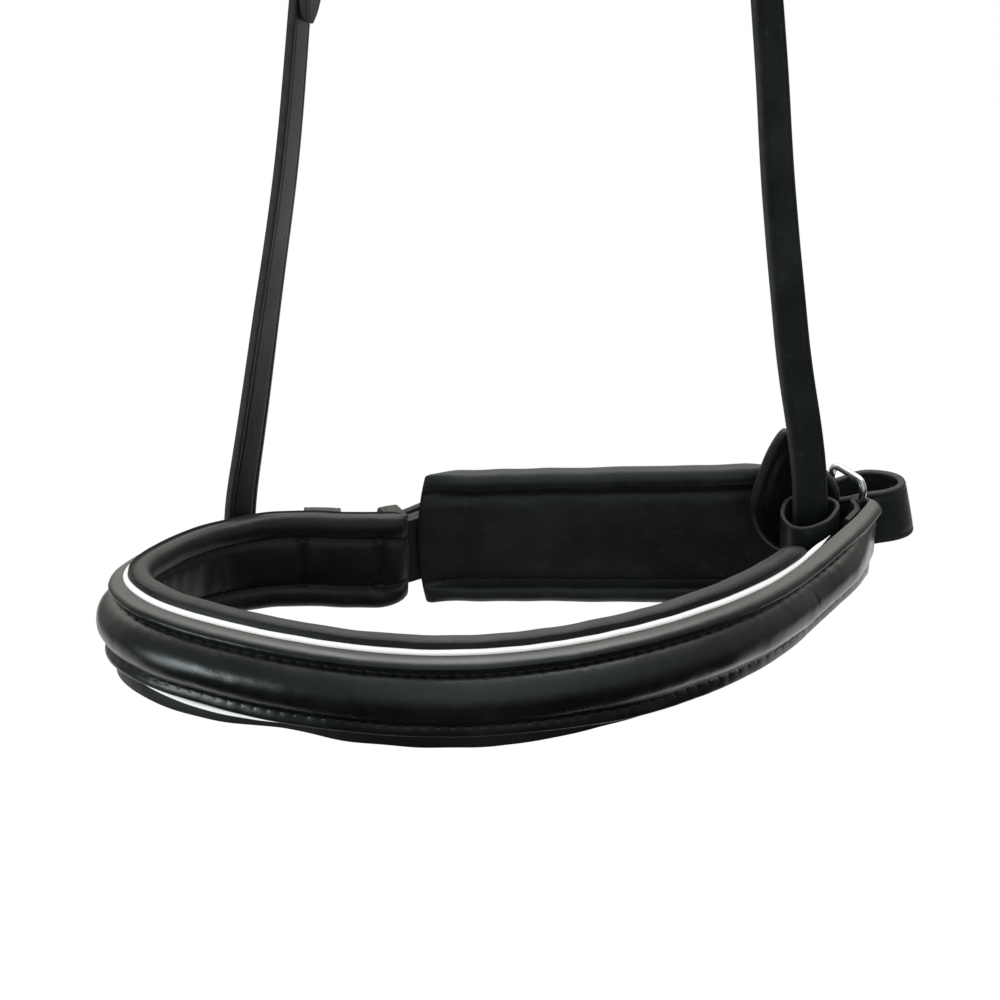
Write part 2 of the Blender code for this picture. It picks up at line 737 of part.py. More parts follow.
def make_crank_strap(seam, leather):
    path = smooth_line(crank_line(seam), 4.6 * MM)
    half = CRANK_WIDTH / 2
    tip_length = 12 * MM
    along = lengths_along(path)
    rows = []
    for i, point in enumerate(path):
        to_tip = along[-1] - along[i]
        narrow = 0.25 + 0.75 * math.sqrt(min(to_tip / tip_length, 1.0))
        level = crank_level(point.x)
        rows.append([point + Vector((0, 0, level + half * share * narrow)) for share in (1, -1)])
    return sheet("crank_strap", rows, CRANK_THICKNESS, leather)


def make_buckle(names, frame, width, length, wire, tongue_radius, roller_radius, metal):
    """Frame, tongue and roller: X from heel bar to toe bar, Y along the bars, Z outward."""
    corner = 2.5 * wire
    outline = rounded_box(0, length, -width / 2, width / 2, corner)
    cord(names[0], [Vector((p.x, p.y, 0)) for p in outline], wire, metal, True, 2, frame)
    eye = wire + GAP + tongue_radius
    rest_height = roller_radius + GAP + tongue_radius
    reach = length + roller_radius
    prong_start = math.degrees(math.atan2(rest_height - eye, length)) + 90
    wrap = arc((0, 0), eye, prong_start + 285, prong_start, 10)
    points = [Vector((p.x, 0, p.y)) for p in wrap]
    points.append(Vector((length * 0.5, 0, (rest_height + eye) / 2)))
    points.append(Vector((reach, 0, rest_height)))
    cord(names[1], points, tongue_radius, metal, False, 2, frame)
    if len(names) > 2:
        bore = wire + GAP
        rings = [arc((0, 0), r, 0, 337.5, 16) for r in (roller_radius, bore)]
        barrel = frame @ Matrix.Translation((length, 0, 0)) @ Matrix.Rotation(math.radians(90), 4, "X")
        plate(names[2], rings, width - 2 * corner - 2 * GAP, metal, barrel)


def crank_buckle_frame():
    along = (CRANK_TOE - CRANK_HEEL).to_3d().normalized()
    outward = Vector((-along.y, along.x, 0))
    columns = Matrix((along, outward.cross(along), outward)).transposed().to_4x4()
    return Matrix.Translation((CRANK_HEEL.x, CRANK_HEEL.y, crank_level(CRANK_HEEL.x))) @ columns


def make_crank_buckle(seam, strap, metal, leather):
    frame = crank_buckle_frame()
    length = (CRANK_TOE - CRANK_HEEL).length
    names = ("crank_buckle_frame", "crank_buckle_tongue", "crank_buckle_roller")
    make_buckle(names, frame, 27.6 * MM, length, CRANK_WIRE, 1.0 * MM, ROLLER_RADIUS, metal)
    slot = Matrix.Translation((5.1 * MM, 0, 2.5 * MM))
    cut_slot(strap, frame @ slot, Vector((13, 3.0, 12)) * MM)
    make_chape(seam, frame, leather)


def make_chape(seam, frame, leather):
    """Folded strip: its long leg runs under the heel bar, its short leg back over it."""
    ring = CRANK_WIRE + GAP + CHAPE_THICKNESS / 2
    long_leg = [point.to_3d() for point in beside(seam, -47, -24, 5.6)]
    long_leg += mm([(-20.6, 14.9, 0), (-16, 15.9, 0)])
    fold = [point.to_3d() for point in arc([CRANK_HEEL.x, CRANK_HEEL.y], ring, -88, 110, 9)]
    short_leg = mm([(-17.2, 19.6, 0), (-21.2, 17.3, 0)])
    path = smooth_line(long_leg + fold + short_leg, 2.2 * MM)
    half = CRANK_WIDTH / 2 - 0.7 * MM
    rows = []
    for point in path:
        level = crank_level(point.x)
        rows.append([point + Vector((0, 0, level + half)), point + Vector((0, 0, level - half))])
    chape = sheet("crank_buckle_chape", rows, CHAPE_THICKNESS, leather)
    cut_slot(chape, frame @ Matrix.Translation((0.5 * MM, 0, 0)), Vector((10, 3.4, 10)) * MM)


def make_crank_keepers(seam, leather):
    """The two keepers that hold the strap's tip on the left section."""
    wall = 1.6 * MM
    inner = CRANK_WIDTH + 1.0 * MM
    start = BACKING_THICKNESS / 2 + 2 * GAP
    keepers = (("crank_fixed_keeper", -36.0, 10.6, 7), ("crank_second_keeper", -61, 7.0, 13))
    for name, x, depth, width in keepers:
        i = min(range(len(seam)), key=lambda k: abs(seam[k].x - x * MM) + max(0, -12 * MM - seam[k].y))
        place = seam[i].xy + outward_at(seam, i).xy * start
        level = crank_level(place.x)
        keeper(name, place, direction_at(seam, i), level, depth * MM, inner, wall, width * MM, leather)


# Headstall


def head_station(side, height):
    """Centre, across and outward vectors of one side of the headstall at a height."""
    points = LEFT_SIDE if side < 0 else RIGHT_SIDE
    path = smooth_line(mm([(x, 0, z) for x, z in points]), 3 * MM)
    heights = [p.z for p in path]
    x = float(np.interp(height, heights, [p.x for p in path]))
    foot = LEFT_STRAP_Y if side < 0 else RIGHT_STRAP_Y
    y = foot + (CROWN_Y - foot) * ease(height / (300 * MM))
    return Vector((x, y, height))


def head_turn(side, height):
    """Angle of the strap's width from +X, in degrees."""
    if side < 0:
        return float(np.interp(height / MM, [0, 90, 185, 320], [45, 60, 68, 90]))
    return float(np.interp(height / MM, [0, 185, 340], [25, 42, 90]))


def head_frame(side, point, direction, height):
    """X along the strap, Y across it, Z outward on the side where the tip lies."""
    a = math.radians(head_turn(side, height))
    across = Vector((-math.cos(a), -math.sin(a), 0))
    across = (across - direction * across.dot(direction)).normalized()
    outward = direction.cross(across)
    return Matrix((direction, across, outward)).transposed().to_4x4()


def side_line(side, low, high, step):
    count = max(2, round((high - low) / step))
    return [head_station(side, low + (high - low) * i / count) for i in range(count + 1)]


def crown_line(left_end, right_end):
    """Arch over the poll between two ends, even steps each side of its flat top facet."""
    centre_z = CROWN_TOP - CROWN_RADIUS
    half_facet = math.asin(STRAP_STEP / 2 / CROWN_RADIUS)
    count = 9
    angles = [half_facet + (math.radians(84) - half_facet) * i / count for i in range(count + 1)]
    height = CROWN_RADIUS / math.cos(half_facet)
    across = [height * math.sin(a) for a in angles]
    up = [centre_z + height * math.cos(a) for a in angles]
    right = [Vector((CROWN_X + x, CROWN_Y, z)) for x, z in zip(across, up)]
    left = [Vector((CROWN_X - x, CROWN_Y, z)) for x, z in zip(across, up)]
    below_left = left[-1] + Vector((-3 * MM, 0, -40 * MM))
    below_right = right[-1] + Vector((3 * MM, 0, -40 * MM))
    down_left = smooth_line([left[-1], below_left, left_end], STRAP_STEP)[1:-1]
    down_right = smooth_line([right[-1], below_right, right_end], STRAP_STEP)[1:-1]
    return list(reversed(down_left)) + list(reversed(left)) + right + down_right


def make_straps(leather):
    """Left cheek strap with its chape, and the headpiece strap with its tip."""
    heel = head_heel()
    rows = []
    for point, direction in stations(side_line(-1, STRAP_FOOT, HEAD_HEEL_Z - 4 * MM, STRAP_STEP)):
        rows.append(strap_row(-1, point, direction, 0.0))
    frame = head_frame(-1, heel, UP, HEAD_HEEL_Z)
    axes = frame.to_3x3()
    out = axes.col[2]
    up = axes.col[0]
    across = axes.col[1]
    ring = HEAD_WIRE + GAP + STRAP_THICKNESS / 2
    half = STRAP_WIDTH / 2
    for angle in range(0, 181, 30):
        a = math.radians(angle)
        point = heel + out * (ring * math.cos(a)) + up * (ring * math.sin(a))
        rows.append([point + across * half, point - across * half])
    for drop, inset in ((8, 4.6), (16, 3.6), (26, 3.6)):
        point = head_station(-1, HEAD_HEEL_Z - drop * MM)
        rows.append(strap_row(-1, point, UP, -inset * MM))
    cheek = sheet("left_cheek_strap", rows, STRAP_THICKNESS, leather)

    left_end = head_station(-1, HEAD_HEEL_Z + 42 * MM)
    right_end = head_station(1, 300 * MM)
    arch = crown_line(left_end, right_end)
    left = side_line(-1, TIP_Z, HEAD_HEEL_Z - 8 * MM, STRAP_STEP)[:-1]
    left += side_line(-1, HEAD_HEEL_Z - 8 * MM, HEAD_HEEL_Z + 32 * MM, 4 * MM)
    right = list(reversed(side_line(1, STRAP_FOOT, 300 * MM, STRAP_STEP)))
    path = left + arch + right
    rows = []
    for point, direction in stations(path):
        side = -1 if point.x < CROWN_X else 1
        lift = 0.0
        if side < 0 and point.z < HEAD_HEEL_Z + 60 * MM:
            lift = (STRAP_THICKNESS + 0.4 * MM) * (1 - ease((point.z - HEAD_HEEL_Z + 1 * MM) / (14 * MM)))
        narrow = 1.0
        if side < 0 and point.z < TIP_Z + 7 * MM:
            narrow = 0.3 + 0.7 * math.sqrt((point.z - TIP_Z) / (7 * MM))
        rows.append(strap_row(side, point, direction * -side, lift, narrow))
    return cheek, sheet("headpiece_strap", rows, STRAP_THICKNESS, leather)


def stations(path):
    return [(point, direction_at(path, i)) for i, point in enumerate(path)]


def strap_row(side, point, direction, lift, narrow=1.0):
    """The two edges of a strap at a station, lifted towards its outer face."""
    axes = head_frame(side, point, direction, point.z).to_3x3()
    across = axes.col[1]
    centre = point + axes.col[2] * lift
    half = STRAP_WIDTH / 2 * narrow
    return [centre + across * half, centre - across * half]


def head_heel():
    """Heel bar of the head buckle, behind the strap's centre line."""
    point = head_station(-1, HEAD_HEEL_Z)
    axes = head_frame(-1, point, UP, HEAD_HEEL_Z).to_3x3()
    return point - axes.col[2] * (STRAP_THICKNESS / 2 + GAP + HEAD_WIRE)


def head_buckle_placement():
    point = head_station(-1, HEAD_HEEL_Z)
    frame = head_frame(-1, point, UP, HEAD_HEEL_Z)
    tilt = Matrix.Rotation(math.radians(-25), 4, "Y")
    return Matrix.Translation(head_heel()) @ frame @ tilt


def make_head_buckle(cheek, headpiece, metal):
    frame = head_buckle_placement()
    names = ("head_buckle_frame", "head_buckle_tongue")
    make_buckle(names, frame, 18.0 * MM, HEAD_LENGTH, HEAD_WIRE, 0.8 * MM, HEAD_WIRE, metal)
    cut_slot(cheek, frame @ Matrix.Translation((1 * MM, 0, 0)), Vector((10, 2.6, 14)) * MM)
    cut_slot(headpiece, frame @ Matrix.Translation((6.3 * MM, 0, 2.2 * MM)), Vector((11.5, 2.4, 14)) * MM)


def make_head_keepers(leather):
    """A fixed keeper under the buckle and a sliding one above the tip."""
    wall = 1.4 * MM
    inner = (-STRAP_THICKNESS / 2 - 0.4 * MM, 1.5 * STRAP_THICKNESS + 0.8 * MM)
    half = STRAP_WIDTH / 2 + 0.5 * MM
    for name, height, width in (("head_fixed_keeper", 216, 9), ("head_sliding_keeper", 200, 9)):
        point = head_station(-1, height * MM)
        slope = (head_station(-1, (height + 3) * MM) - head_station(-1, (height - 3) * MM)).normalized()
        axes = head_frame(-1, point, slope, height * MM).to_3x3()
        columns = Matrix((axes.col[1], axes.col[2], axes.col[0])).transposed().to_4x4()
        frame = Matrix.Translation(point) @ columns
        hole = rounded_box(-half, half, inner[0], inner[1], 0.6 * MM, 3)
        rim = rounded_box(-half - wall, half + wall, inner[0] - wall, inner[1] + wall, 1.8 * MM, 3)
        plate(name, [rim, hole], width * MM, leather, frame)


def main():
    start_scene()
    leather = finish("black_leather", (0.018, 0.020, 0.021), 0.42)
    strap_leather = finish("strap_leather", (0.022, 0.024, 0.026), 0.5)
    soft_leather = finish("soft_lining_leather", (0.016, 0.018, 0.019), 0.55)
    white = finish("white_piping", (0.86, 0.86, 0.85), 0.5)
    steel = finish("polished_steel", (0.72, 0.72, 0.73), 0.18, 1.0)
    foam = finish("felt_padding", (0.32, 0.32, 0.32), 0.9)

    seam = seam_line()
    make_lining(seam, soft_leather)
    make_backing(seam, strap_leather)
    make_cover(seam, leather)
    make_padding(seam, foam)
    make_piping(seam, white)
    make_ring(seam, steel)
    make_sleeves(strap_leather)
    make_guard(soft_leather)
    make_chin_cushion(soft_leather)
    make_chin_backing(strap_leather)
    make_chin_loops(strap_leather)
    strap = make_crank_strap(seam, strap_leather)
    make_crank_buckle(seam, strap, steel, strap_leather)
    make_crank_keepers(seam, strap_leather)
    cheek, headpiece = make_straps(strap_leather)
    make_head_buckle(cheek, headpiece, steel)
    make_head_keepers(strap_leather)


main()
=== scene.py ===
"""Looks of the crank noseband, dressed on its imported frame.

Sizes are in millimetres, and points are around the same datum as in the part's source,
level with the top of the nosepiece lining. Each mesh is moved under the headstall's crown
and scaled to metres as it is made. X runs across the nosepiece to its ring end, -Y is the
front, Z is up.
"""

from math import asin, atan2, cos, degrees, exp, pi, radians, sin, sqrt, tan

import bmesh
import bpy
import numpy as np
from mathutils import Matrix, Vector, noise

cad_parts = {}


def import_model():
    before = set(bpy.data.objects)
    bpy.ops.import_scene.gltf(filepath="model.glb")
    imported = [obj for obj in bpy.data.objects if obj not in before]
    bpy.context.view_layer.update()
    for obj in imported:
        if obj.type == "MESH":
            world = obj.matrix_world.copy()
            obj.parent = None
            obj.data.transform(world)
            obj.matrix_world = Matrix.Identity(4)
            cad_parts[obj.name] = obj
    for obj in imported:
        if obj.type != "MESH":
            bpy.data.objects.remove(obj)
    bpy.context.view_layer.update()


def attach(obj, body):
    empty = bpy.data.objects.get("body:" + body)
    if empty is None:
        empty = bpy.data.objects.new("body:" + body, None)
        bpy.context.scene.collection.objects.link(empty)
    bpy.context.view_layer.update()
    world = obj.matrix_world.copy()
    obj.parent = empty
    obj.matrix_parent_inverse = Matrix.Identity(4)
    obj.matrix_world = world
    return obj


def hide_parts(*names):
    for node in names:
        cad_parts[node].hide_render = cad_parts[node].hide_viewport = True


MM = 0.001
UP = Vector((0, 0, 1))
GAP = 0.3
DATUM = Vector((-10.5, 5.0, -484.4))

# Nosepiece, as in the part's source
SEAM_PLAN = [
    (-18.5, 9.8), (-24, 8.0), (-29, 4.9), (-34, 1.4), (-39, -0.3), (-46, -0.8), (-58, -0.8), (-73, -1.8),
    (-88, -6.3), (-101, -13.5), (-113, -24), (-122.5, -36.5), (-127.5, -50), (-121, -66.5),
    (-97, -85.5), (-60, -102), (-20, -109.5), (20, -103), (62, -82), (95, -53), (114, -24),
    (123, -7.5), (127.9, 3.6),
]
SEAM_STEP = 3.1
CRANK_END_DROP = 3.0
LEVEL_FROM = Vector((-117, -29))
LINING_LEFT = Vector((-34.4, 1.4))
LINING_RIGHT = Vector((110, -31))
LINING_FOLD = Vector((-70, -1.5))
LINING_MIDDLE = -18.0
LINING_STITCHES_OUT = -7.5
COVER_LEFT = Vector((-103, -15))
PIPING_RIGHT = Vector((114, -24))
LEFT_TURN = Vector((-124, -58))
LEAN_PIVOT = -4.0
LEAN_FRONT = 0.105
LEAN_RING_END = -0.10
BACKING_THICKNESS = 2.2
BACKING_TOP = -5
BACKING_BOTTOM = -31
COVER_INNER = 1.5
RAISED_MIDDLE = -19.3
RAISED_HEIGHT = 4.7
RAISED_FADE_LEFT = 48.0
RAISED_FADE_RIGHT = 30.0
PIPING_RADIUS = 1.25

# Sections: how far out, then how high
LINING_SECTION = [
    (-1.55, -3.5), (-2.8, -1.9), (-4.4, -0.6), (-6.4, 0), (-8.5, -1.1), (-9.7, -3.8), (-9.2, -6.8),
    (-7.2, -8.8), (-8.6, -11), (-9.2, -15), (-9.2, -21), (-8.6, -25), (-7.2, -27.2),
    (-9.2, -29.2), (-9.7, -32.2), (-8.2, -35.2), (-5.2, -36), (-2.6, -34.8), (-1.7, -32),
]
FELT_HALF = 6.2
FELT_SECTION = [(0.4, -FELT_HALF), (0.4, FELT_HALF)]
FELT_SECTION += [(max(0.4, 5.0 * (1 - t * t) ** 0.8 - 0.9), FELT_HALF * t) for t in (0.8, 0.5, 0.0, -0.5, -0.8)]

# Cover, as sewn, in height and how far out: rows of stitches either side of the raised centre
STITCH_PITCH = 4.7
STITCH_ROWS = (-10.3, -28.4)
ROW_WAVES = (0.09, 0.05)
ROW_DENTS = (0.45, 0.27)
DOME_HALF = 9.1
DOME_HALF_INSIDE = 7.6
COVER_PROFILE = [
    (-32.3, 2.1), (-31.9, 2.7), (-31.0, 2.95), (-30.0, 2.97), (-29.1, 2.9), (-28.4, 2.85), (-27.5, 3.0), (-26, 3.4),
    (-19.3, 3.4), (-12.6, 3.3), (-11.2, 2.9), (-10.3, 2.6), (-9.8, 2.9), (-9.1, 3.9), (-8.3, 4.5), (-7.4, 4.5),
    (-6.3, 3.7), (-5.4, 2.3), (-4.9, 1.0), (-4.6, -0.4),
]
COVER_INSIDE = (-31.8, -28.5, -26.6, -22, RAISED_MIDDLE, -16, -12, -10, -6.2)
COVER_TUCK = (-0.5, -5.1)

# Right guard: its outline along the plan curve and up, and its layers (spread, depth)
GUARD_PLAN = [(88, -0.5, 0), (97, 4, 0), (105, 7, 0), (112, 8.4, 0), (119, 7.6, 0)]
GUARD_EDGE = [
    (33, -5), (33, 1), (27.8, 8.4), (20.5, 16), (15, 23.4), (11.5, 24.8), (6.4, 18),
    (2.4, 8), (0, -3), (3.5, -14), (12, -22), (22, -23), (30, -15),
]
GUARD_CENTRE = Vector((16, 0))
GUARD_GROOVE = (0.745, -1.05)
GUARD_LAYERS = [
    (0.02, -2.2), (0.3, -2.2), (0.5, -2.15), (0.62, -2.0), (0.68, -1.6), (0.72, -1.05), (0.75, -0.95),
    (0.78, -1.2), (0.82, -1.9), (0.87, -2.35), (0.92, -2.4), (0.965, -2.0), (0.99, -1.1), (1.0, 0.0),
    (0.99, 1.0), (0.96, 1.7), (0.9, 2.05), (0.6, 2.2), (0.3, 2.2), (0.02, 2.2),
]

# Ring, crank strap, chin pad and headstall, as in the part's source
RING_WIRE = 1.4
RING_WINDOW = 14.0
RING_TOP = 3.6
RING_BOTTOM = -37.0
RING_DIRECTION = Vector((-0.6, 0.8, 0))
NEAR_BAR_OFFSET = RING_WIRE + 2 * GAP + BACKING_THICKNESS / 2
CRANK_THICKNESS = 3.0
CRANK_WIDTH = 20.0
CRANK_LEVEL = -17.0
CRANK_RISE = 0.0158
CRANK_HEEL = Vector((-12, 18.8))
CRANK_TOE = Vector((6, 22.3))
CRANK_WIRE = 1.4
ROLLER_RADIUS = 2.4
CHAPE_THICKNESS = 1.5
KEEPER_WALL = 1.6
PAD_LEFT = Vector((-27.0, 1.5))
PAD_RIGHT = Vector((92.6, 8.5))
PAD_LENGTH = (PAD_RIGHT - PAD_LEFT).length
PAD_ALONG = (PAD_RIGHT - PAD_LEFT).to_3d().normalized()
PAD_BEHIND = Vector((-PAD_ALONG.y, PAD_ALONG.x, 0))
PAD_LEVEL_LEFT = -16.7
PAD_LEVEL_RIGHT = -19.2
PAD_GROWTH = 55.0 / 51.0 - 1
PAD_BACK_PANEL = 6.5
PAD_END_THINNING = 1 - 2.8 / 8.5
PAD_END_LENGTH = 14.0
PAD_BACKING_THICKNESS = 1.6
PAD_SECTION = [
    (1.5, 0), (1.7, 7), (2.2, 12.4), (3.4, 15.2), (5.2, 17.0), (3.6, 18.4), (0.7, 19.3), (0.0, 21.8),
    (1.8, 24.3), (4.6, 25), (7.2, 23.9), (8.5, 21), (7.9, 18), (6.5, 16), (6.5, 0),
]
INNER_LEG = 10.6
OUTER_LEG = 14.6
STRAP_THICKNESS = 3.2
STRAP_WIDTH = 13.0
STRAP_FOOT = -27.0
CROWN_X = 10.5
CROWN_Y = -5.0
CROWN_RADIUS = 56.0
CROWN_TOP = 486.0
CROWN_FACET = 9.0
STRAP_FOOT_Y = {-1: 3.6, 1: -7.9}
SIDES = {-1: [(-91.8, -27), (-91.3, -6), (-88.0, 17), (-78.8, 77), (-72.3, 120), (-65.6, 183), (-57.2, 260)],
         1: [(107.4, -27), (107.4, 12), (102.9, 42), (95.2, 101), (89.8, 157), (84, 220), (77, 300)]}
TIP_Z = 175.5
TIP_LENGTH = 8
HEAD_HEEL_Z = 252.0
HEAD_WIRE = 1.1
HEAD_LENGTH = 17.0

# Camera, a little above the noseband, as the photograph was taken
CAMERA_DISTANCE = 1300.0
CAMERA_ELEVATION = radians(25)
CAMERA_LENS = 133.7

LOOKS = {}


# Curves and frames, as in the part's source


def lengths_along(path):
    total = 0.0
    places = [0.0]
    for a, b in zip(path, path[1:]):
        total += (b - a).length
        places.append(total)
    return places


def smooth_line(points, step):
    """Evenly spaced points on a natural cubic through the given points."""
    knots = np.array([tuple(point) for point in points], float)
    gaps = np.linalg.norm(np.diff(knots, axis=0), axis=1)
    count = len(knots)
    system = np.eye(count)
    for i in range(1, count - 1):
        system[i, i - 1:i + 2] = gaps[i - 1], 2 * (gaps[i - 1] + gaps[i]), gaps[i]
    right = np.zeros(knots.shape)
    right[1:-1] = 6 * np.diff(np.diff(knots, axis=0) / gaps[:, None], axis=0)
    bend = np.linalg.solve(system, right)
    fine = []
    for i in range(count - 1):
        for b in np.linspace(0, 1, 24, endpoint=False):
            a = 1 - b
            cubic = (a ** 3 - a) * bend[i] + (b ** 3 - b) * bend[i + 1]
            fine.append(a * knots[i] + b * knots[i + 1] + gaps[i] ** 2 / 6 * cubic)
    fine = np.array(fine + [knots[-1]])
    length = np.concatenate([[0], np.cumsum(np.linalg.norm(np.diff(fine, axis=0), axis=1))])
    places = np.linspace(0, length[-1], max(2, round(length[-1] / step) + 1))
    return [Vector(row) for row in zip(*(np.interp(places, length, column) for column in fine.T))]


def flat_line(points, step):
    return smooth_line([(x, y, 0) for x, y in points], step)


def direction_at(path, i, closed=False):
    if closed:
        return (path[(i + 1) % len(path)] - path[i - 1]).normalized()
    return (path[min(i + 1, len(path) - 1)] - path[max(i - 1, 0)]).normalized()


def outward_at(path, i):
    """Plan normal to the right of the path's direction."""
    along = direction_at(path, i)
    return Vector((along.y, -along.x, 0)).normalized()


def nearest(path, place):
    return min(range(len(path)), key=lambda i: (path[i].xy - place).length)


def ease(t):
    t = min(max(t, 0.0), 1.0)
    return t * t * (3 - 2 * t)


def hump(x, width):
    """A bell of height one about zero."""
    return exp(-(x / width) ** 2)


def between(x, low, high, soft):
    """One inside a range, easing to nothing at its ends."""
    return ease((x - low) / soft) * ease((high - x) / soft)


def rounding(distance, radius):
    """Height share of a quarter circle at a distance from its end."""
    return sqrt(max(0.0, 1 - (1 - min(distance / radius, 1.0)) ** 2))


def circle(count):
    return [2 * pi * k / count for k in range(count)]


def arc(centre, radius, start, end, count):
    """Points on an arc in the plane, angles in degrees."""
    angles = [radians(start + (end - start) * i / (count - 1)) for i in range(count)]
    return [Vector((centre[0] + radius * cos(a), centre[1] + radius * sin(a))) for a in angles]


def rounded_box(x0, x1, y0, y1, radius, count=4):
    """Counter-clockwise outline of a rectangle with round corners."""
    points = []
    for x, y, turn in [(x1, y1, 0), (x0, y1, 90), (x0, y0, 180), (x1, y0, 270)]:
        cx = x - radius if x == x1 else x + radius
        cy = y - radius if y == y1 else y + radius
        points.extend(arc((cx, cy), radius, turn, turn + 90, count))
    return points


def smooth_loop(points, fine):
    """A closed outline through the given points, with several points to each side."""
    loop = []
    count = len(points)
    for i in range(count):
        a, b, c, d = (Vector(points[(i + k) % count]) for k in (-1, 0, 1, 2))
        for k in range(fine):
            t = k / fine
            loop.append((b * 2 + (c - a) * t + (a * 2 - b * 5 + c * 4 - d) * t * t
                         + (b * 3 - a - c * 3 + d) * t * t * t) / 2)
    return loop


def frame_of(x, y, z, origin):
    return Matrix.Translation(origin) @ Matrix((x, y, z)).transposed().to_4x4()


def placed(frame, points):
    return [frame @ Vector(p) for p in points]


def seam_line(step=SEAM_STEP):
    """The seam in space: level in front, dropping a little at the crank end."""
    path = flat_line(SEAM_PLAN, step)
    along = lengths_along(path)
    level_from = along[nearest(path, LEVEL_FROM)]
    for point, place in zip(path, along):
        point.z = -CRANK_END_DROP * ease(1 - place / level_from)
    return path


def seam_part(first, last=None, step=SEAM_STEP):
    """The seam from the point nearest one place, on to that nearest another or to its end."""
    path = seam_line(step)
    end = len(path) if last is None else nearest(path, last) + 1
    return path[nearest(path, first):end]


def lean_at(point):
    """Lean of the band's section at a plan point: none on the crank side."""
    if point.y > -26 and point.x < 0:
        return LEAN_FRONT * ease((-74 - point.x) / 38)
    return LEAN_FRONT + (LEAN_RING_END - LEAN_FRONT) * ease((point.x - 40) / 78)


def leaned(path, i, outward, height):
    """A point of the band's section, given outward of the seam and in height."""
    lean = lean_at(path[i])
    depth = height - LEAN_PIVOT
    across = outward * cos(lean) - depth * sin(lean)
    rise = depth * cos(lean) + outward * sin(lean)
    return path[i] + outward_at(path, i) * across + UP * (LEAN_PIVOT + rise)


def near_bar(seam):
    """Plan point of the ring's near bar and the seam's direction there."""
    last = len(seam) - 1
    return seam[last] - outward_at(seam, last) * NEAR_BAR_OFFSET, direction_at(seam, last)


def bar_turn(seam, angles):
    """Points turning round the near bar, on from the end of the seam."""
    pivot, onward = near_bar(seam)
    side = outward_at(seam, len(seam) - 1)
    return [pivot + (side * cos(a) + onward * sin(a)) * NEAR_BAR_OFFSET for a in map(radians, angles)]


def tilted_up(seam):
    """The band's own up direction at the ring end."""
    last = len(seam) - 1
    return (UP - outward_at(seam, last) * tan(lean_at(seam[last]))).normalized()


def raise_at(place, total):
    """How far the raised centre stands out, as a share, along the cover."""
    return ease(place / RAISED_FADE_LEFT) * ease((total - place) / RAISED_FADE_RIGHT)


def pad_point(distance, depth):
    """Plan point at a distance from the pad's left end and a depth behind its front."""
    return PAD_LEFT.to_3d() + PAD_ALONG * distance + PAD_BEHIND * depth


def pad_level(distance):
    return PAD_LEVEL_LEFT + (PAD_LEVEL_RIGHT - PAD_LEVEL_LEFT) * distance / PAD_LENGTH


def crank_level(x):
    return CRANK_LEVEL + CRANK_RISE * x


# Meshes


def wander(point, size, amount, seed=0.0):
    """A smooth unevenness of about the given size."""
    return noise.noise(Vector((point.x + seed, point.y - seed, point.z)) / size) * amount


def skin(rings, closed=False):
    """Points and faces of rings joined in a row, with a fan over each open end."""
    count = len(rings[0])
    points = [p for ring in rings for p in ring]
    faces = []
    for i in range(len(rings) - (not closed)):
        a = i * count
        b = (i + 1) % len(rings) * count
        for j in range(count):
            k = (j + 1) % count
            faces.append((a + j, a + k, b + k, b + j))
    if not closed:
        for start in (0, (len(rings) - 1) * count):
            middle = sum(points[start:start + count], Vector((0, 0, 0))) / count
            faces.extend((start + j, start + (j + 1) % count, len(points)) for j in range(count))
            points.append(middle)
    return points, faces


def linked(name, data):
    item = bpy.data.objects.new(name, data)
    bpy.context.scene.collection.objects.link(item)
    return item


def add_object(name, shape):
    """A closed mesh with its faces turned outward, moved from the datum and scaled to metres."""
    points, faces = shape
    data = bpy.data.meshes.new(name)
    data.from_pydata([(p + DATUM) * MM for p in points], [], faces)
    solid = bmesh.new()
    solid.from_mesh(data)
    bmesh.ops.recalc_face_normals(solid, faces=solid.faces)
    solid.to_mesh(data)
    solid.free()
    return linked(name, data)


def add_piece(name, shape, look, body, node=None, edges=()):
    """A piece riding on a body, in a node's place. Edges give each point's share of cut edge."""
    item = add_object(name, shape)
    data = item.data
    values = np.zeros(len(data.vertices), np.float32)
    values[:len(edges)] = edges
    data.attributes.new("edge", "FLOAT", "POINT").data.foreach_set("value", values)
    data.shade_smooth()
    data.set_sharp_from_angle(angle=radians(55))
    data.materials.append(LOOKS[look])
    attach(item, body)
    if node is not None:
        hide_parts(node)
    return item


def strap_section(width, thickness, corner=0.9, crease=1.9, groove=0.22):
    """Section of a flat strap, (across, outward, cut edge), with creased lines near its edges."""
    half = width / 2
    t = thickness / 2
    corner = min(corner, t * 0.85)
    face = [half - corner, half - crease + 0.45, half - crease, half - crease - 0.45, half * 0.55, half * 0.25, 0]
    face = face + [-a for a in reversed(face[:-1])]
    outer = []
    for a in face:
        dip = groove if abs(abs(a) - (half - crease)) < 0.01 else 0.0
        crown = 0.12 * (1 - (a / half) ** 2)
        outer.append((a, t - dip + crown - 0.1, 0.0))
    inner = [(-a, -o, 0.0) for a, o, _ in outer]
    left = [(-half + corner * 0.29, t - corner * 0.29, 0.7), (-half, t - corner, 1.0), (-half, -t + corner, 1.0),
            (-half + corner * 0.29, -t + corner * 0.29, 0.7)]
    right = [(-a, o, e) for a, o, e in reversed(left)]
    return outer + left + inner + right


def add_strap(name, stations, section, body, node, closed=False):
    """A strap of a section along stations of (centre, across, outward, width share)."""
    rings = [[centre + across * (a * share) + outward * o for a, o, _ in section]
             for centre, across, outward, share in stations]
    edges = [edge for _, _, edge in section] * len(stations)
    if not closed:
        count = len(section)
        edges[:count] = edges[-count:] = [1.0] * count
    return add_piece(name, skin(rings, closed), "strap", body, node, edges)


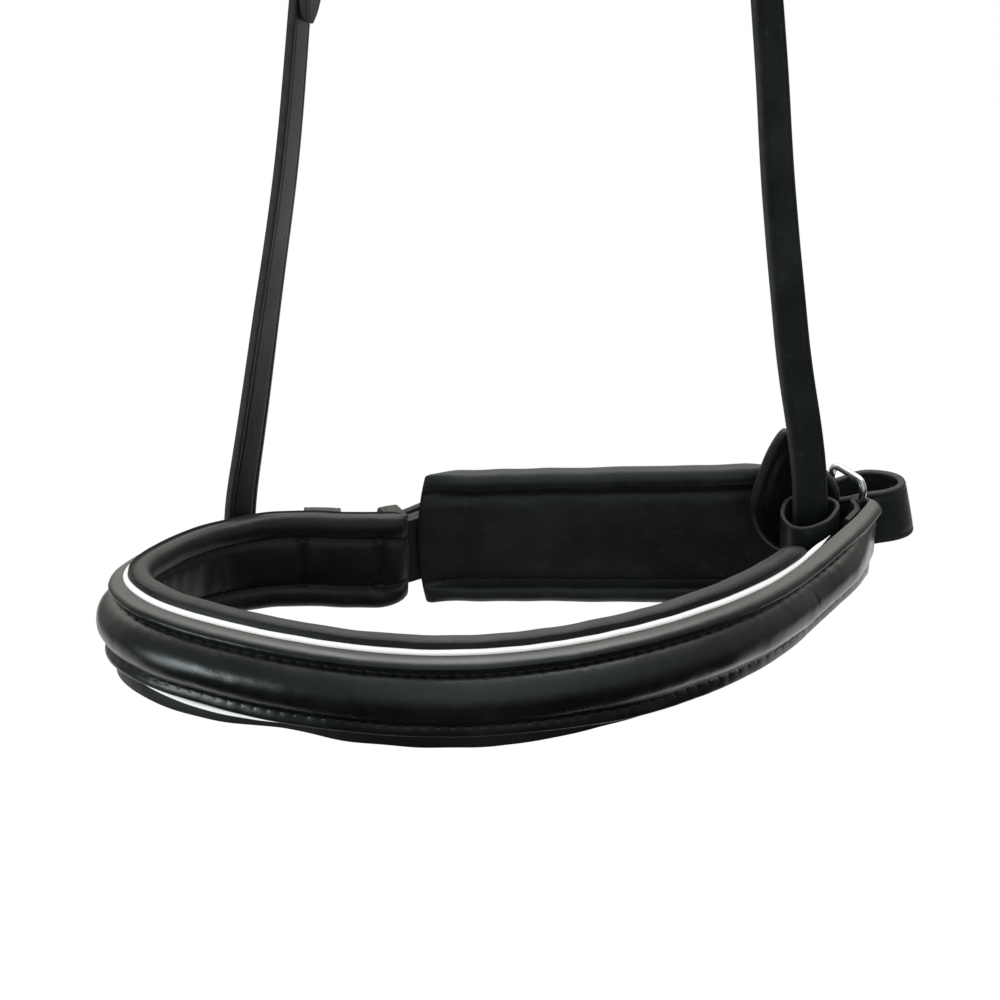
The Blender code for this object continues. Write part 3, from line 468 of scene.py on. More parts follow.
def add_tube(name, path, radius, sides, look, body, node, closed=False):
    """A tube about a path, carried along without twisting. Its radius may vary by point."""
    radii = radius if isinstance(radius, list) else [radius] * len(path)
    rings = []
    side = direction_at(path, 0, closed).orthogonal()
    for i, centre in enumerate(path):
        along = direction_at(path, i, closed)
        side = (side - along * side.dot(along)).normalized()
        other = along.cross(side)
        rings.append([centre + (side * cos(a) + other * sin(a)) * radii[i] for a in circle(sides)])
    add_piece(name, skin(rings, closed), look, body, node)


def add_stitches(name, places, body, length, radius):
    """Thread stitches, each a short bent rod with its ends drawn into the leather."""
    stations = ((-1.0, 0.45, -1.1), (-0.8, 0.85, -0.35), (-0.4, 1.0, 0.0), (0.4, 1.0, 0.0), (0.8, 0.85, -0.35),
                (1.0, 0.45, -1.1))
    points = []
    faces = []
    for middle, along, outward in places:
        across = along.cross(outward).normalized()
        rings = []
        for run, wide, sag in stations:
            centre = middle + along * (run * length / 2) + outward * (sag * radius)
            rings.append([centre + (across * cos(a) + outward * sin(a)) * (radius * wide) for a in circle(7)])
        more, shape = skin(rings)
        faces.extend(tuple(len(points) + k for k in face) for face in shape)
        points.extend(more)
    add_piece(name, (points, faces), "thread", body)


def cut(item, cutters):
    """Cut shapes (points, faces) out of a piece and keep the result as its mesh."""
    tools = [add_object("cutter", shape) for shape in cutters]
    for tool in tools:
        hole = item.modifiers.new("hole", "BOOLEAN")
        hole.object = tool
        hole.operation = "DIFFERENCE"
        hole.solver = "EXACT"
    bpy.context.view_layer.update()
    result = bpy.data.meshes.new_from_object(item.evaluated_get(bpy.context.evaluated_depsgraph_get()))
    item.modifiers.clear()
    item.data = result
    for tool in tools:
        bpy.data.objects.remove(tool)


def oblong(frame, length, width, depth):
    """A closed bar with a long round-ended section in a frame's XY, centred on its origin."""
    reach = length / 2 - width / 2
    outline = arc((reach, 0), width / 2, -90, 90, 9) + arc((-reach, 0), width / 2, 90, 270, 9)
    return skin([placed(frame, [(p.x, p.y, z) for p in outline]) for z in (-depth / 2, depth / 2)])


def shifted(frame, x, z=0.0):
    return frame @ Matrix.Translation((x, 0, z))


# Materials


class Web:
    """Short ways to add and join nodes."""

    def __init__(self, owner):
        owner.use_nodes = True
        self.tree = owner.node_tree

    def fill(self, node, **values):
        """Give inputs a value, a colour or another node's output."""
        for name, value in values.items():
            self.put(node.inputs[name.replace("_", " ")], value)
        return node

    def put(self, socket, value):
        if isinstance(value, bpy.types.NodeSocket):
            self.tree.links.new(value, socket)
        else:
            socket.default_value = (*value, 1) if socket.type == "RGBA" else value

    def add(self, kind, **values):
        return self.fill(self.tree.nodes.new("ShaderNode" + kind), **values)

    def texture(self, kind, stretch=None, **values):
        place = self.add("TexCoord").outputs["Object"]
        if stretch:
            place = self.add("Mapping", Vector=place, Scale=stretch).outputs[0]
        return self.add("Tex" + kind, Vector=place, **values)

    def noise(self, scale, detail, stretch=None, **values):
        return self.texture("Noise", stretch, Scale=scale, Detail=detail, **values).outputs["Fac"]

    def ramp(self, value, low, high, to_low, to_high):
        made = self.add("MapRange", Value=value, From_Min=low, From_Max=high, To_Min=to_low, To_Max=to_high)
        made.interpolation_type = "SMOOTHSTEP"
        return made.outputs["Result"]

    def mix(self, share, first, second):
        made = self.add("Mix")
        made.data_type = "RGBA"
        for k, value in ((0, share), (6, first), (7, second)):
            self.put(made.inputs[k], value)
        return made.outputs[2]

    def maths(self, operation, first, second):
        made = self.add("Math")
        made.operation = operation
        self.put(made.inputs[0], first)
        self.put(made.inputs[1], second)
        return made.outputs[0]

    def times(self, first, second):
        return self.maths("MULTIPLY", first, second)

    def plus(self, first, second):
        return self.maths("ADD", first, second)

    def larger(self, first, second):
        return self.maths("MAXIMUM", first, second)

    def finish(self, shader, height, strength, distance, **values):
        """Bump and the shader's other inputs."""
        bump = self.add("Bump", Height=height, Strength=strength, Distance=distance)
        self.fill(shader, Normal=bump.outputs["Normal"], **values)


def start_material(name):
    material = bpy.data.materials.new(name)
    web = Web(material)
    return material, web, material.node_tree.nodes["Principled BSDF"]


def leather(name, deep, light, edge, roughness, specular, grain, creases, sheen=0.0, coat=0.0):
    """Dyed leather: pebbled grain, pores, soft creases, uneven dye, and paler cut edges."""
    material, web, shader = start_material(name)
    cells = web.texture("Voronoi", Scale=1500.0).outputs["Distance"]
    pores = web.noise(2600.0, 2.0)
    cloud = web.noise(38.0, 4.0, Roughness=0.6)
    mottle = web.noise(240.0, 3.0)
    folds = web.noise(330.0, 3.0, (1.0, 1.0, 0.35), Distortion=0.6)
    colour = web.mix(web.ramp(cloud, 0.35, 0.7, 0.0, 1.0), deep, light)
    colour = web.mix(web.ramp(mottle, 0.58, 0.76, 0.0, 0.5), colour, tuple(c * 1.7 for c in light))
    attribute = web.add("Attribute")
    attribute.attribute_name = "edge"
    cut_edge = attribute.outputs["Fac"]
    colour = web.mix(web.times(cut_edge, web.ramp(mottle, 0.25, 0.6, 0.55, 1.0)), colour, edge)
    gloss = web.plus(web.ramp(cloud, 0.3, 0.75, roughness - 0.05, roughness + 0.07), web.times(cut_edge, 0.2))
    height = web.plus(web.times(cells, grain * 0.35), web.times(pores, grain * 0.25))
    height = web.plus(height, web.times(folds, creases))
    web.finish(shader, height, 0.55, 0.00022, Base_Color=colour, Roughness=gloss, Specular_IOR_Level=specular,
               Sheen_Weight=sheen, Sheen_Roughness=0.45, Coat_Weight=coat, Coat_Roughness=0.32)
    return material


def white_cord(name):
    material, web, shader = start_material(name)
    soil = web.noise(55.0, 4.0)
    colour = web.mix(web.ramp(soil, 0.55, 0.8, 0.0, 0.35), (0.93, 0.93, 0.92), (0.80, 0.80, 0.79))
    web.finish(shader, web.noise(1400.0, 2.0), 0.3, 0.0001, Base_Color=colour,
               Roughness=web.ramp(soil, 0.3, 0.7, 0.42, 0.55))
    return material


def steel(name):
    material, web, shader = start_material(name)
    cloud = web.noise(160.0, 3.0)
    colour = web.mix(web.ramp(cloud, 0.4, 0.75, 0.0, 1.0), (0.76, 0.76, 0.77), (0.60, 0.60, 0.60))
    web.finish(shader, web.noise(3000.0, 2.0, (1.0, 1.0, 0.08)), 0.12, 0.00005, Base_Color=colour, Metallic=1.0,
               Roughness=web.ramp(cloud, 0.3, 0.75, 0.14, 0.26))
    return material


def plain_fibre(name, colour, other, scale, roughness):
    """Thread and felt: fine fibres and an uneven shade."""
    material, web, shader = start_material(name)
    fibres = web.noise(scale, 3.0, Distortion=1.0)
    web.finish(shader, fibres, 0.6, 0.0001, Roughness=roughness, Specular_IOR_Level=0.3,
               Base_Color=web.mix(web.ramp(fibres, 0.35, 0.7, 0.0, 1.0), colour, other))
    return material


# Nosepiece pieces


def cover_stand(profile, height, share, run):
    """How far out the cover's outer face stands: margins, sewn valleys, raised centre."""
    t = (height - RAISED_MIDDLE) / DOME_HALF
    stand = float(np.interp(height, *profile)) + RAISED_HEIGHT * share * max(0.0, 1 - t * t) ** 1.1
    beat = cos(2 * pi * run / STITCH_PITCH)
    for k, row in enumerate(STITCH_ROWS):
        off = height - row
        pull = 0.6 + 0.8 * noise.noise(Vector((run / 7, k * 9.0, 0)))
        stand -= ROW_WAVES[k] * beat * share * pull * hump(off, 2.2)
        stand -= ROW_DENTS[k] * max(0.0, beat) ** 6 * hump(off, 0.6)
    return stand


def cover_heights():
    """Heights down the outer face, closer together at the edges and the stitch rows."""
    height = COVER_PROFILE[-1][0]
    bottom = COVER_PROFILE[0][0]
    fine_near = STITCH_ROWS + (height - 2, bottom)
    heights = []
    while height > bottom:
        heights.append(height)
        close = min(abs(height - row) for row in fine_near)
        height -= 0.28 + 0.42 * ease(close / 4)
    return heights + [bottom]


def settled(point):
    """The ring end of the noseband as it hangs: drawn a little outward and up."""
    if point.y < -45 or point.x < 100:
        return point
    return point + Vector((2.2 * ease((point.x - 106) / 19), 0, 2.4 * ease((point.x - 103) / 20)))


def margin_shift(path, i, height):
    """The lower margin hangs lower at the right and front left, and wraps out at the left turn."""
    share = ease((-26 - height) / 5)
    low = 1.5 * ease(path[i].x / 55) + 0.9 * hump(path[i].x + 78, 26) * ease((-50 - path[i].y) / 20)
    out = 1.5 * hump((path[i].xy - LEFT_TURN).length, 28)
    return (outward_at(path, i) * out - UP * low) * share


def make_cover():
    path = seam_part(COVER_LEFT, step=STITCH_PITCH / 8)
    path += bar_turn(path, (11, 22, 33, 44))
    along = lengths_along(path)
    shares = [raise_at(run, along[-1]) for run in along]
    profile = np.array(smooth_line(COVER_PROFILE, 0.1)).T
    heights = cover_heights()
    rings = []
    for i, run in enumerate(along):
        ring = []
        for height in heights:
            point = leaned(path, i, cover_stand(profile, height, shares[i], run), height)
            point += outward_at(path, i) * (wander(point, 16, 0.3) + wander(point, 5, 0.1))
            ring.append(settled(point + margin_shift(path, i, height)))
        for height in COVER_INSIDE:
            t = (height - RAISED_MIDDLE) / DOME_HALF_INSIDE
            bulge = RAISED_HEIGHT * shares[i] * max(0.0, 1 - t * t) ** 0.8
            ring.append(settled(leaned(path, i, COVER_INNER + bulge, height)))
        ring.append(settled(leaned(path, i, *COVER_TUCK)))
        rings.append(ring)
    edges = [0.8 * hump(height - heights[-1], 0.5) for height in heights] + [0.0] * (len(COVER_INSIDE) + 1)
    add_piece("cover_leather", skin(rings), "cover", "noseband", "nosepiece_cover", edges * len(path))
    places = []
    for row in STITCH_ROWS:
        for i in range(12, len(path) - 14, 8):
            stand = cover_stand(profile, row, shares[i], along[i]) - 0.08
            middle, ahead, behind = (settled(leaned(path, k, stand, row) + margin_shift(path, k, row))
                                     for k in (i, i + 2, i - 2))
            places.append((middle, (ahead - behind).normalized(), outward_at(path, i)))
    add_stitches("cover_stitches", places, "noseband", length=3.7, radius=0.38)


def lining_point(path, i, out, height):
    """A point of the lining's section, whose lower roll hangs lower round the front left."""
    x, y, _ = path[i]
    drop = 2.2 * ease((70 - x) / 80) + 1.9 * ease((-35 - x) / 45) - 2.6 * hump(x + 71, 16)
    hang = drop * ease((-22 - y) / 26) * ease((-18 - height) / 12)
    return leaned(path, i, out + 0.45 * hang, height - hang)


def make_lining():
    path = seam_part(LINING_LEFT, LINING_RIGHT, 1.15)
    section = smooth_loop(LINING_SECTION, 5)
    along = lengths_along(path)
    fold = along[nearest(path, LINING_FOLD)]
    rings = []
    for i, run in enumerate(along):
        end = min(run, along[-1] - run)
        sink = ease(1 - (along[-1] - run) / 15)
        ring = []
        for o, z in section:
            inward = ease((-o - 4) / 4)
            o = -5.2 + (o + 5.2) * (0.12 + 0.88 * rounding(end, 3.2))
            shrink = 0.12 * (1 - rounding(end, 5.5)) if z > LINING_MIDDLE else 0.42 * (1 - rounding(end, 10))
            z = LINING_MIDDLE + (z - LINING_MIDDLE) * (1 - shrink) - 4.2 * sink * ease((z + 14) / 10)
            panel = between(z, -27, -9, 4) * inward
            crease = 1.5 * hump(run - fold, 1.6) * between(z, -29, -5, 4) * inward
            rim = between(z, -31, -5, 3) * inward
            crease += rim * (1.7 * hump(end - 8.2, 1.5) - 0.6 * hump(end - 4.2, 2.2))
            point = lining_point(path, i, o + crease, z)
            soft = wander(point, 9, 0.32) + wander(point, 3.4, 0.12) * panel
            wave = wander(Vector((run, 0, z * 0.2)), 5, 0.30) * panel
            point -= outward_at(path, i) * ((soft + wave) * inward)
            point.z += wander(Vector((run, z * 0.1, 0)), 14, 0.35)
            ring.append(point)
        rings.append(ring)
    add_piece("lining_leather", skin(rings), "lining", "noseband", "nosepiece_lining")
    places = []
    for row in (-8.8, -27.2):
        for i in range(6, len(path) - 6, 3):
            here, ahead, behind = (lining_point(path, k, LINING_STITCHES_OUT, row) for k in (i, i + 1, i - 1))
            places.append((here, (ahead - behind).normalized(), -outward_at(path, i)))
    add_stitches("lining_stitches", places, "noseband", length=2.9, radius=0.3)


def make_backing():
    """Flat strap along the seam, folded round the ring's near bar and back inside."""
    coarse = seam_line()
    seam = seam_line(1.5)
    last = len(coarse) - 1
    inner = BACKING_THICKNESS + GAP + 0.1
    back = [coarse[last - k] - outward_at(coarse, last - k) * (inner + (1.3 if k == 1 else 0)) for k in range(1, 6)]
    path = seam + bar_turn(coarse, range(15, 181, 15)) + back
    up = tilted_up(coarse)
    stations = []
    for i, point in enumerate(path):
        top, low = (settled(leaned(path, i, 0, height) if i < len(seam)
                            else point + UP * LEAN_PIVOT + up * (height - LEAN_PIVOT))
                    for height in (BACKING_TOP, BACKING_BOTTOM))
        across = (top - low).normalized()
        outward = direction_at(path, i).cross(across).normalized()
        stations.append(((top + low) / 2, across, outward, 0.94 + 0.06 * ease((i - len(seam) + 14) / 8)))
    section = strap_section(BACKING_TOP - BACKING_BOTTOM, BACKING_THICKNESS, corner=0.6, crease=2.0, groove=0.1)
    add_strap("backing_leather", stations, section, "noseband", "nosepiece_backing_strap")


def make_filling():
    """The felt under the raised centre."""
    path = seam_part(COVER_LEFT)
    along = lengths_along(path)
    rings = []
    for i, run in enumerate(along):
        if 14 < run < along[-1] - 14:
            share = max(0.12, raise_at(run, along[-1]))
            rings.append([leaned(path, i, COVER_INNER + o * share, RAISED_MIDDLE + z * share)
                          for o, z in FELT_SECTION])
    add_piece("felt_filling", skin(rings), "felt", "noseband", "raised_padding")


def make_piping():
    path = seam_part(COVER_LEFT, PIPING_RIGHT, 1.6)
    along = lengths_along(path)
    for name, node, inset, height, drop in (("piping_upper", "upper_piping", -1.4, -4.3, 0.0),
                                            ("piping_lower", "lower_piping", -0.4, -31.6, 3.0)):
        line = []
        radii = []
        for i, run in enumerate(along):
            x, y, _ = path[i]
            point = leaned(path, i, inset, height - drop * hump(x + 96, 27) * ease((-50 - y) / 20))
            if drop:
                point -= outward_at(path, i) * (1.2 * ease((x + 32) / 20))
            point.z += wander(Vector((run, 0, 0)), 11, 0.2)
            line.append(settled(point))
            thin = 1 - 0.28 * ease((x - 85) / 25)
            radii.append(PIPING_RADIUS * thin * (0.12 + 0.88 * ease((along[-1] - run) / 9)))
        add_tube(name, line, radii, 14, "piping", "noseband", node)


def make_ring():
    seam = seam_line()
    pivot, _ = near_bar(seam)
    up = tilted_up(seam)
    half = (RING_TOP - RING_BOTTOM) / 2 - RING_WIRE
    across = (RING_DIRECTION - up * RING_DIRECTION.dot(up)).normalized()
    place = settled(pivot) + UP * LEAN_PIVOT + up * ((RING_TOP + RING_BOTTOM) / 2 - LEAN_PIVOT)
    outline = rounded_box(0, RING_WINDOW + 2 * RING_WIRE, -half, half, 4, 9)
    path = placed(frame_of(across, up, across.cross(up), place), [p.to_3d() for p in outline])
    add_tube("ring_wire", path, RING_WIRE, 18, "steel", "ring", "right_ring", True)


def make_sleeve(name, node, centre, turned, front, back, half_width, wall, bottom, top, flare):
    """Upright leather sleeve with rounded rims, an egg in plan."""
    corners = [(p.x, p.y) for p in rounded_box(0, wall, bottom, top, wall * 0.45, 4)]
    steps = [bottom + (top - bottom) * k / 9 for k in range(1, 9)]
    section = corners[11:7:-1] + [(0, y) for y in steps] + corners[7:3:-1] + corners[3::-1]
    section += [(wall, y) for y in reversed(steps)] + corners[15:11:-1]
    turn = Matrix.Rotation(turned, 3, "Z")
    rings = []
    for a in circle(72):
        ring = []
        for inset, height in section:
            rise = (height - bottom) / (top - bottom)
            spread = flare * max(0.0, (rise - 0.7) / 0.3) ** 2
            reach = (back if cos(a) > 0 else front) - inset + spread
            point = turn @ Vector((reach * cos(a), (half_width - inset + spread * 0.3) * sin(a), 0))
            point += Vector((*centre, height))
            point.z += wander(point, 12, 0.5) * rise
            point += turn @ Vector((cos(a), sin(a), 0)) * wander(point, 7, 0.15)
            ring.append(point)
        rings.append(ring)
    edges = [1.0 if min(top - height, height - bottom) < 0.35 * wall else 0.0 for _, height in section]
    add_piece(name, skin(rings, True), "strap", "noseband", node, edges * len(rings))


def make_sleeves():
    make_sleeve("hanger_sleeve_right", "right_hanger_loop", (108.5, -5.5), atan2(0.954, 0.3), front=19.5,
                back=8.5, half_width=9.8, wall=1.6, bottom=-33, top=1, flare=0.7)
    make_sleeve("hanger_sleeve_left", "left_hanger_loop", (-91.5, 4.2), atan2(0.62, 0.78), front=11.2,
                back=11.2, half_width=7.0, wall=1.8, bottom=-34, top=-12, flare=0.2)


def make_guard():
    """Padded leaf behind the right hanger loop, bent along a plan curve, with a sewn groove."""
    plan = smooth_line(GUARD_PLAN, 0.5)
    along = lengths_along(plan)
    outline = smooth_loop(GUARD_EDGE, 8)

    def place(corner, spread, depth, uneven=0.0):
        flat = GUARD_CENTRE + (corner - GUARD_CENTRE) * spread
        i = min(range(len(along)), key=lambda k: abs(along[k] - min(max(flat.x, 0), along[-1])))
        deep = depth + wander(flat.to_3d(), 6, uneven)
        return plan[i] + direction_at(plan, i) * (flat.x - along[i]) - outward_at(plan, i) * deep + UP * flat.y

    rings = [[place(corner, spread, depth, 0.25 if depth < 0 else 0.0) for corner in outline]
             for spread, depth in GUARD_LAYERS]
    add_piece("guard_leaf", skin(rings), "lining", "noseband", "right_guard")
    ring = [place(corner, *GUARD_GROOVE) for corner in outline]
    places = []
    for k in range(0, len(ring), 4):
        out = ring[k] - place(outline[k], GUARD_GROOVE[0], 0)
        places.append((ring[k], direction_at(ring, k, True), out.normalized()))
    add_stitches("guard_stitches", places, "noseband", length=2.6, radius=0.3)


# Chin pad


def make_chin_cushion():
    """Padded front: rolled rims, a groove inside each, and a crowned panel between."""
    length = PAD_LENGTH + 7.5
    lower = [(depth, -height) for depth, height in reversed(PAD_SECTION[1:-1])]
    section = smooth_loop(PAD_SECTION + lower, 7)
    distances = []
    place = 0.0
    while place < length:
        distances.append(place)
        place += 0.35 + 0.6 * ease(min(place, length - place) / 6)

    def thinned(d):
        return 1 - (1 - ease(min(d, length - d) / PAD_END_LENGTH)) * PAD_END_THINNING

    rings = []
    for d in distances + [length]:
        round_share = rounding(min(d, length - d), 2.8)
        tall = (1 - 0.045 * (1 - round_share)) * (1 + PAD_GROWTH * d / length)
        left = 1 - ease(d / 24)
        ring = []
        for depth, height in section:
            front = ease((6.0 - depth) / 3.0)
            bow = 2.8 * left * (1 - (height / 25.0) ** 2) - 0.8 * left
            depth = 1.6 + (depth * thinned(d) - 1.6) * (0.2 + 0.8 * round_share) + 1.9 * ease(1 - (length - d) / 26)
            point = pad_point(d - bow, depth) + UP * (pad_level(d) + height * tall)
            panel = front * ease((15 - abs(height)) / 3)
            soft = wander(point, 15, 0.7) + wander(point, 6, 0.22)
            folds = wander(Vector((point.x * 1.6, 0, point.z * 0.7)), 3.2, 0.16) * panel
            point -= PAD_BEHIND * ((soft * panel + folds) * round_share)
            point.z += wander(Vector((d, height * 0.05, 0)), 13, 0.4)
            ring.append(point)
        rings.append(ring)
    add_piece("chin_cushion", skin(rings), "pad", "chin_pad", "chin_pad_cushion")
    places = []
    for side in (1, -1):
        d = 7
        while d < length - 7:
            level = pad_level(d) + side * 17.0 * (1 + PAD_GROWTH * d / length)
            places.append((pad_point(d, 4.95 * thinned(d)) + UP * level, PAD_ALONG, -PAD_BEHIND))
            d += 3.6
    add_stitches("chin_stitches", places, "chin_pad", length=2.7, radius=0.3)


def make_chin_backing():
    """Flat leather let in behind the cushion, sewn round its edge."""
    t = PAD_BACKING_THICKNESS / 2
    half = PAD_LENGTH / 2 - PAD_END_LENGTH
    centre = pad_point(PAD_LENGTH / 2, PAD_BACK_PANEL + GAP + t)
    centre.z = crank_level(centre.x)

    def outline(half_long, half_tall, radius, count, depth):
        return [centre + PAD_ALONG * p.x + PAD_BEHIND * depth + UP * p.y
                for p in rounded_box(-half_long, half_long, -half_tall, half_tall, radius, count)]

    rings = []
    edges = []
    for inset, depth in ((40, t), (1.8, t), (1.2, t - 0.15), (0.35, t * 0.85), (0, 0), (0.35, -t * 0.85), (1.2, -t),
                         (40, -t)):
        rings.append(outline(half - inset / 3, 13.5 - inset * 0.3, 2.6 * (1 - inset / 50), 6, depth))
        edges.extend([1.0 if inset < 1 else 0.0] * len(rings[-1]))
    add_piece("chin_back_leather", skin(rings), "strap", "chin_pad", "chin_pad_backing", edges)
    ring = outline(half - 3, 10.7, 2, 5, t + 0.05)
    line = smooth_line(ring + ring[:1], 3.4)
    places = [(line[k], direction_at(line, k), PAD_BEHIND) for k in range(len(line) - 1)]
    add_stitches("chin_back_stitches", places, "chin_pad", length=2.6, radius=0.3)


def band_stations(frame, outline, closed=False):
    """Stations of a band along an outline in a frame's XY, as wide as the frame's Z."""
    turn = frame.to_3x3()
    stations = []
    for k, point in enumerate(outline):
        run = direction_at(outline, k, closed)
        stations.append((frame @ point.to_3d(), turn @ UP, turn @ Vector((run.y, -run.x, 0)), 1.0))
    return stations


def make_keeper(name, node, place, along, level, depth, width, body):
    """C-shaped keeper of the crank strap, standing out from a plan point."""
    along = along.normalized()
    frame = frame_of(Vector((along.y, -along.x, 0)), UP, -along, (place.x, place.y, level))
    half = (CRANK_WIDTH + 1.0 + KEEPER_WALL) / 2
    far = depth + KEEPER_WALL / 2
    corner = KEEPER_WALL * 1.3
    outline = [Vector((0, -half))] + arc((far - corner, -half + corner), corner, -90, 0, 7)
    outline += [Vector((far, -half * 0.4)), Vector((far + 0.15, 0)), Vector((far, half * 0.4))]
    outline += arc((far - corner, half - corner), corner, 0, 90, 7) + [Vector((0, half))]
    section = strap_section(width, KEEPER_WALL, corner=0.5, crease=1.6, groove=0.18)
    add_strap(name, band_stations(frame, outline), section, body, node)


def make_chin_loops():
    start = PAD_BACK_PANEL + 2 * GAP + PAD_BACKING_THICKNESS
    depth = OUTER_LEG + CRANK_THICKNESS / 2 + 0.5 - start
    for name, node, distance in (("strap_loop_left", "left_strap_loop", 50),
                                 ("strap_loop_right", "right_strap_loop", 90)):
        place = pad_point(distance, start)
        make_keeper(name, node, place, -PAD_ALONG, crank_level(place.x), depth, 14, "chin_pad")


# Crank strap and buckle


def beside(seam, left, right, offset):
    """Plan points beside the crank end of the seam, from left to right."""
    return [(seam[i] + outward_at(seam, i) * offset).xy for i in reversed(range(len(seam)))
            if left <= seam[i].x <= right and seam[i].y > -12]


def crank_line(seam):
    """Plan line of the crank strap: sewn end, pad, ring, turn, buckle, tip."""
    flat = beside(seam, -49, -18, 2.95)
    flat += [pad_point(d, INNER_LEG).xy for d in (16, 27, 40, 53, 66, 79, 92, 105)]
    flat += [(90, 18.8), (101, 17.7), (110.5, 15.2), (119, 12.5), (128, 11.5), (135, 11.6), (141, 13.4),
             (145.6, 17.2), (146.8, 21.8), (144.6, 26.4), (139, 29.4), (131, 30.1), (121, 28.5), (111, 26.2)]
    flat += [pad_point(d, OUTER_LEG).xy for d in (122, 109, 96, 83, 70, 57, 46, 36)]
    flat += [(4.2, 18.1), (-1.8, 20.5), (-6.6, 23.3), (-12, 24.6), (-17.8, 22.9), (-23, 19.8), (-28, 16.4),
             (-33.5, 12.3), (-38.1, 9.3), (-44, 8.0), (-52, 6.5), (-61, 4.8), (-78, 2.4)]
    return flat


def hung_level(x):
    """Level of the crank strap as it hangs, a little low where its layers lie together."""
    return crank_level(x) - 2.2 * hump(x + 38, 17)


def crank_buckle_frame():
    along = (CRANK_TOE - CRANK_HEEL).to_3d().normalized()
    outward = Vector((-along.y, along.x, 0))
    return frame_of(along, outward.cross(along), outward, (*CRANK_HEEL, crank_level(CRANK_HEEL.x)))


def hung_places(path, indexes, apart, out):
    """Two rows of stitch places along a hung strap, so far from its middle and out on its face."""
    places = []
    for side in (1, -1):
        for i in indexes:
            outward = outward_at(path, i)
            spot = path[i] + UP * (hung_level(path[i].x) + side * apart) + outward * out
            places.append((spot, direction_at(path, i), outward))
    return places


def make_crank_strap():
    path = flat_line(crank_line(seam_line()), 1.5)
    along = lengths_along(path)
    stations = []
    for i, point in enumerate(path):
        narrow = 0.12 + 0.88 * sqrt(min((along[-1] - along[i]) / 12, 1.0))
        turned = ease((point.x - 117) / 20)
        centre = point + Vector((-2.2 * turned, 0, hung_level(point.x) + 2.8 * turned))
        across = Vector((-0.20 * turned, 0, 1)).normalized()
        stations.append((centre, across, direction_at(path, i).cross(across).normalized(), narrow))
    strap = add_strap("crank_strap_leather", stations, strap_section(CRANK_WIDTH, CRANK_THICKNESS), "noseband",
                      "crank_strap")
    holes = [oblong(shifted(crank_buckle_frame(), 5.1, 2.5), 13, 3, 12)]
    outer_leg = [i for i in range(len(path)) if along[i] > 0.55 * along[-1]]
    for x in (38.0, 80.0, -24.0, -49.0):
        i = min(outer_leg, key=lambda k: abs(path[k].x - x))
        out, onward = outward_at(path, i), direction_at(path, i)
        spot = path[i] + UP * hung_level(path[i].x)
        holes.append(oblong(frame_of(onward, out.cross(onward), out, spot), 3.2, 2.4, 5))
    cut(strap, holes)
    places = hung_places(path, range(4, 22, 2), apart=6.8, out=1.5)
    add_stitches("crank_stitches", places, "noseband", length=2.3, radius=0.3)


def make_buckle(prefix, frame, width, length, wire, tongue_radius, roller_radius=0.0):
    """Frame, tongue and any roller: X from heel bar to toe bar, Y along the bars, Z outward."""
    corner = 2.5 * wire
    outline = rounded_box(0, length, -width / 2, width / 2, corner, 7)
    add_tube(prefix + "_frame_wire", placed(frame, [p.to_3d() for p in outline]), wire, 16, "steel",
             prefix + "_buckle", prefix + "_buckle_frame", True)
    toe = roller_radius or wire
    eye = wire + GAP + tongue_radius
    climb = toe - wire
    prong_start = degrees(atan2(climb, length)) + 90
    points = [Vector((p.x, 0, p.y)) for p in arc((0, 0), eye, prong_start + 285, prong_start, 24)]
    radii = [tongue_radius] * len(points)
    for k in range(1, 9):
        t = k / 8
        points.append(Vector(((length + toe) * t, 0, eye + climb * t)))
        radii.append(tongue_radius * (1.0 - 0.6 * max(0.0, (t - 0.8) / 0.2) ** 2))
    add_tube(prefix + "_tongue_wire", placed(frame, points), radii, 14, "steel", prefix + "_tongue",
             prefix + "_buckle_tongue")
    if roller_radius:
        bore = wire + GAP
        half = width / 2 - corner - GAP
        section = [(bore, -half + 0.2), (bore + 0.3, -half), (toe - 0.35, -half), (toe, -half + 0.5), (toe - 0.05, 0),
                   (toe, half - 0.5), (toe - 0.35, half), (bore + 0.3, half), (bore, half - 0.2)]
        rings = [placed(frame, [(length + r * cos(a), y, r * sin(a)) for r, y in section]) for a in circle(32)]
        add_piece(prefix + "_roller_barrel", skin(rings, True), "steel", prefix + "_roller",
                  prefix + "_buckle_roller")


def make_crank_buckle():
    frame = crank_buckle_frame()
    make_buckle("crank", frame, 27.6, (CRANK_TOE - CRANK_HEEL).length, CRANK_WIRE, 1.0, ROLLER_RADIUS)
    line = beside(seam_line(), -47, -24, 5.6) + [(-20.6, 14.9), (-16, 15.9)]
    line += arc(CRANK_HEEL, CRANK_WIRE + GAP + CHAPE_THICKNESS / 2, -88, 110, 9) + [(-17.2, 19.6), (-21.2, 17.3)]
    path = flat_line(line, 0.9)
    stations = [(point + UP * hung_level(point.x), UP, outward_at(path, i), 1.0) for i, point in enumerate(path)]
    section = strap_section(CRANK_WIDTH - 1.4, CHAPE_THICKNESS, corner=0.4, crease=1.8, groove=0.12)
    chape = add_strap("crank_chape_leather", stations, section, "noseband", "crank_buckle_chape")
    cut(chape, [oblong(shifted(frame, 0.5), 10, 3.4, 10)])
    places = hung_places(path, range(3, 22, 3), apart=6.6, out=0.75)
    add_stitches("chape_stitches", places, "noseband", length=2.1, radius=0.28)


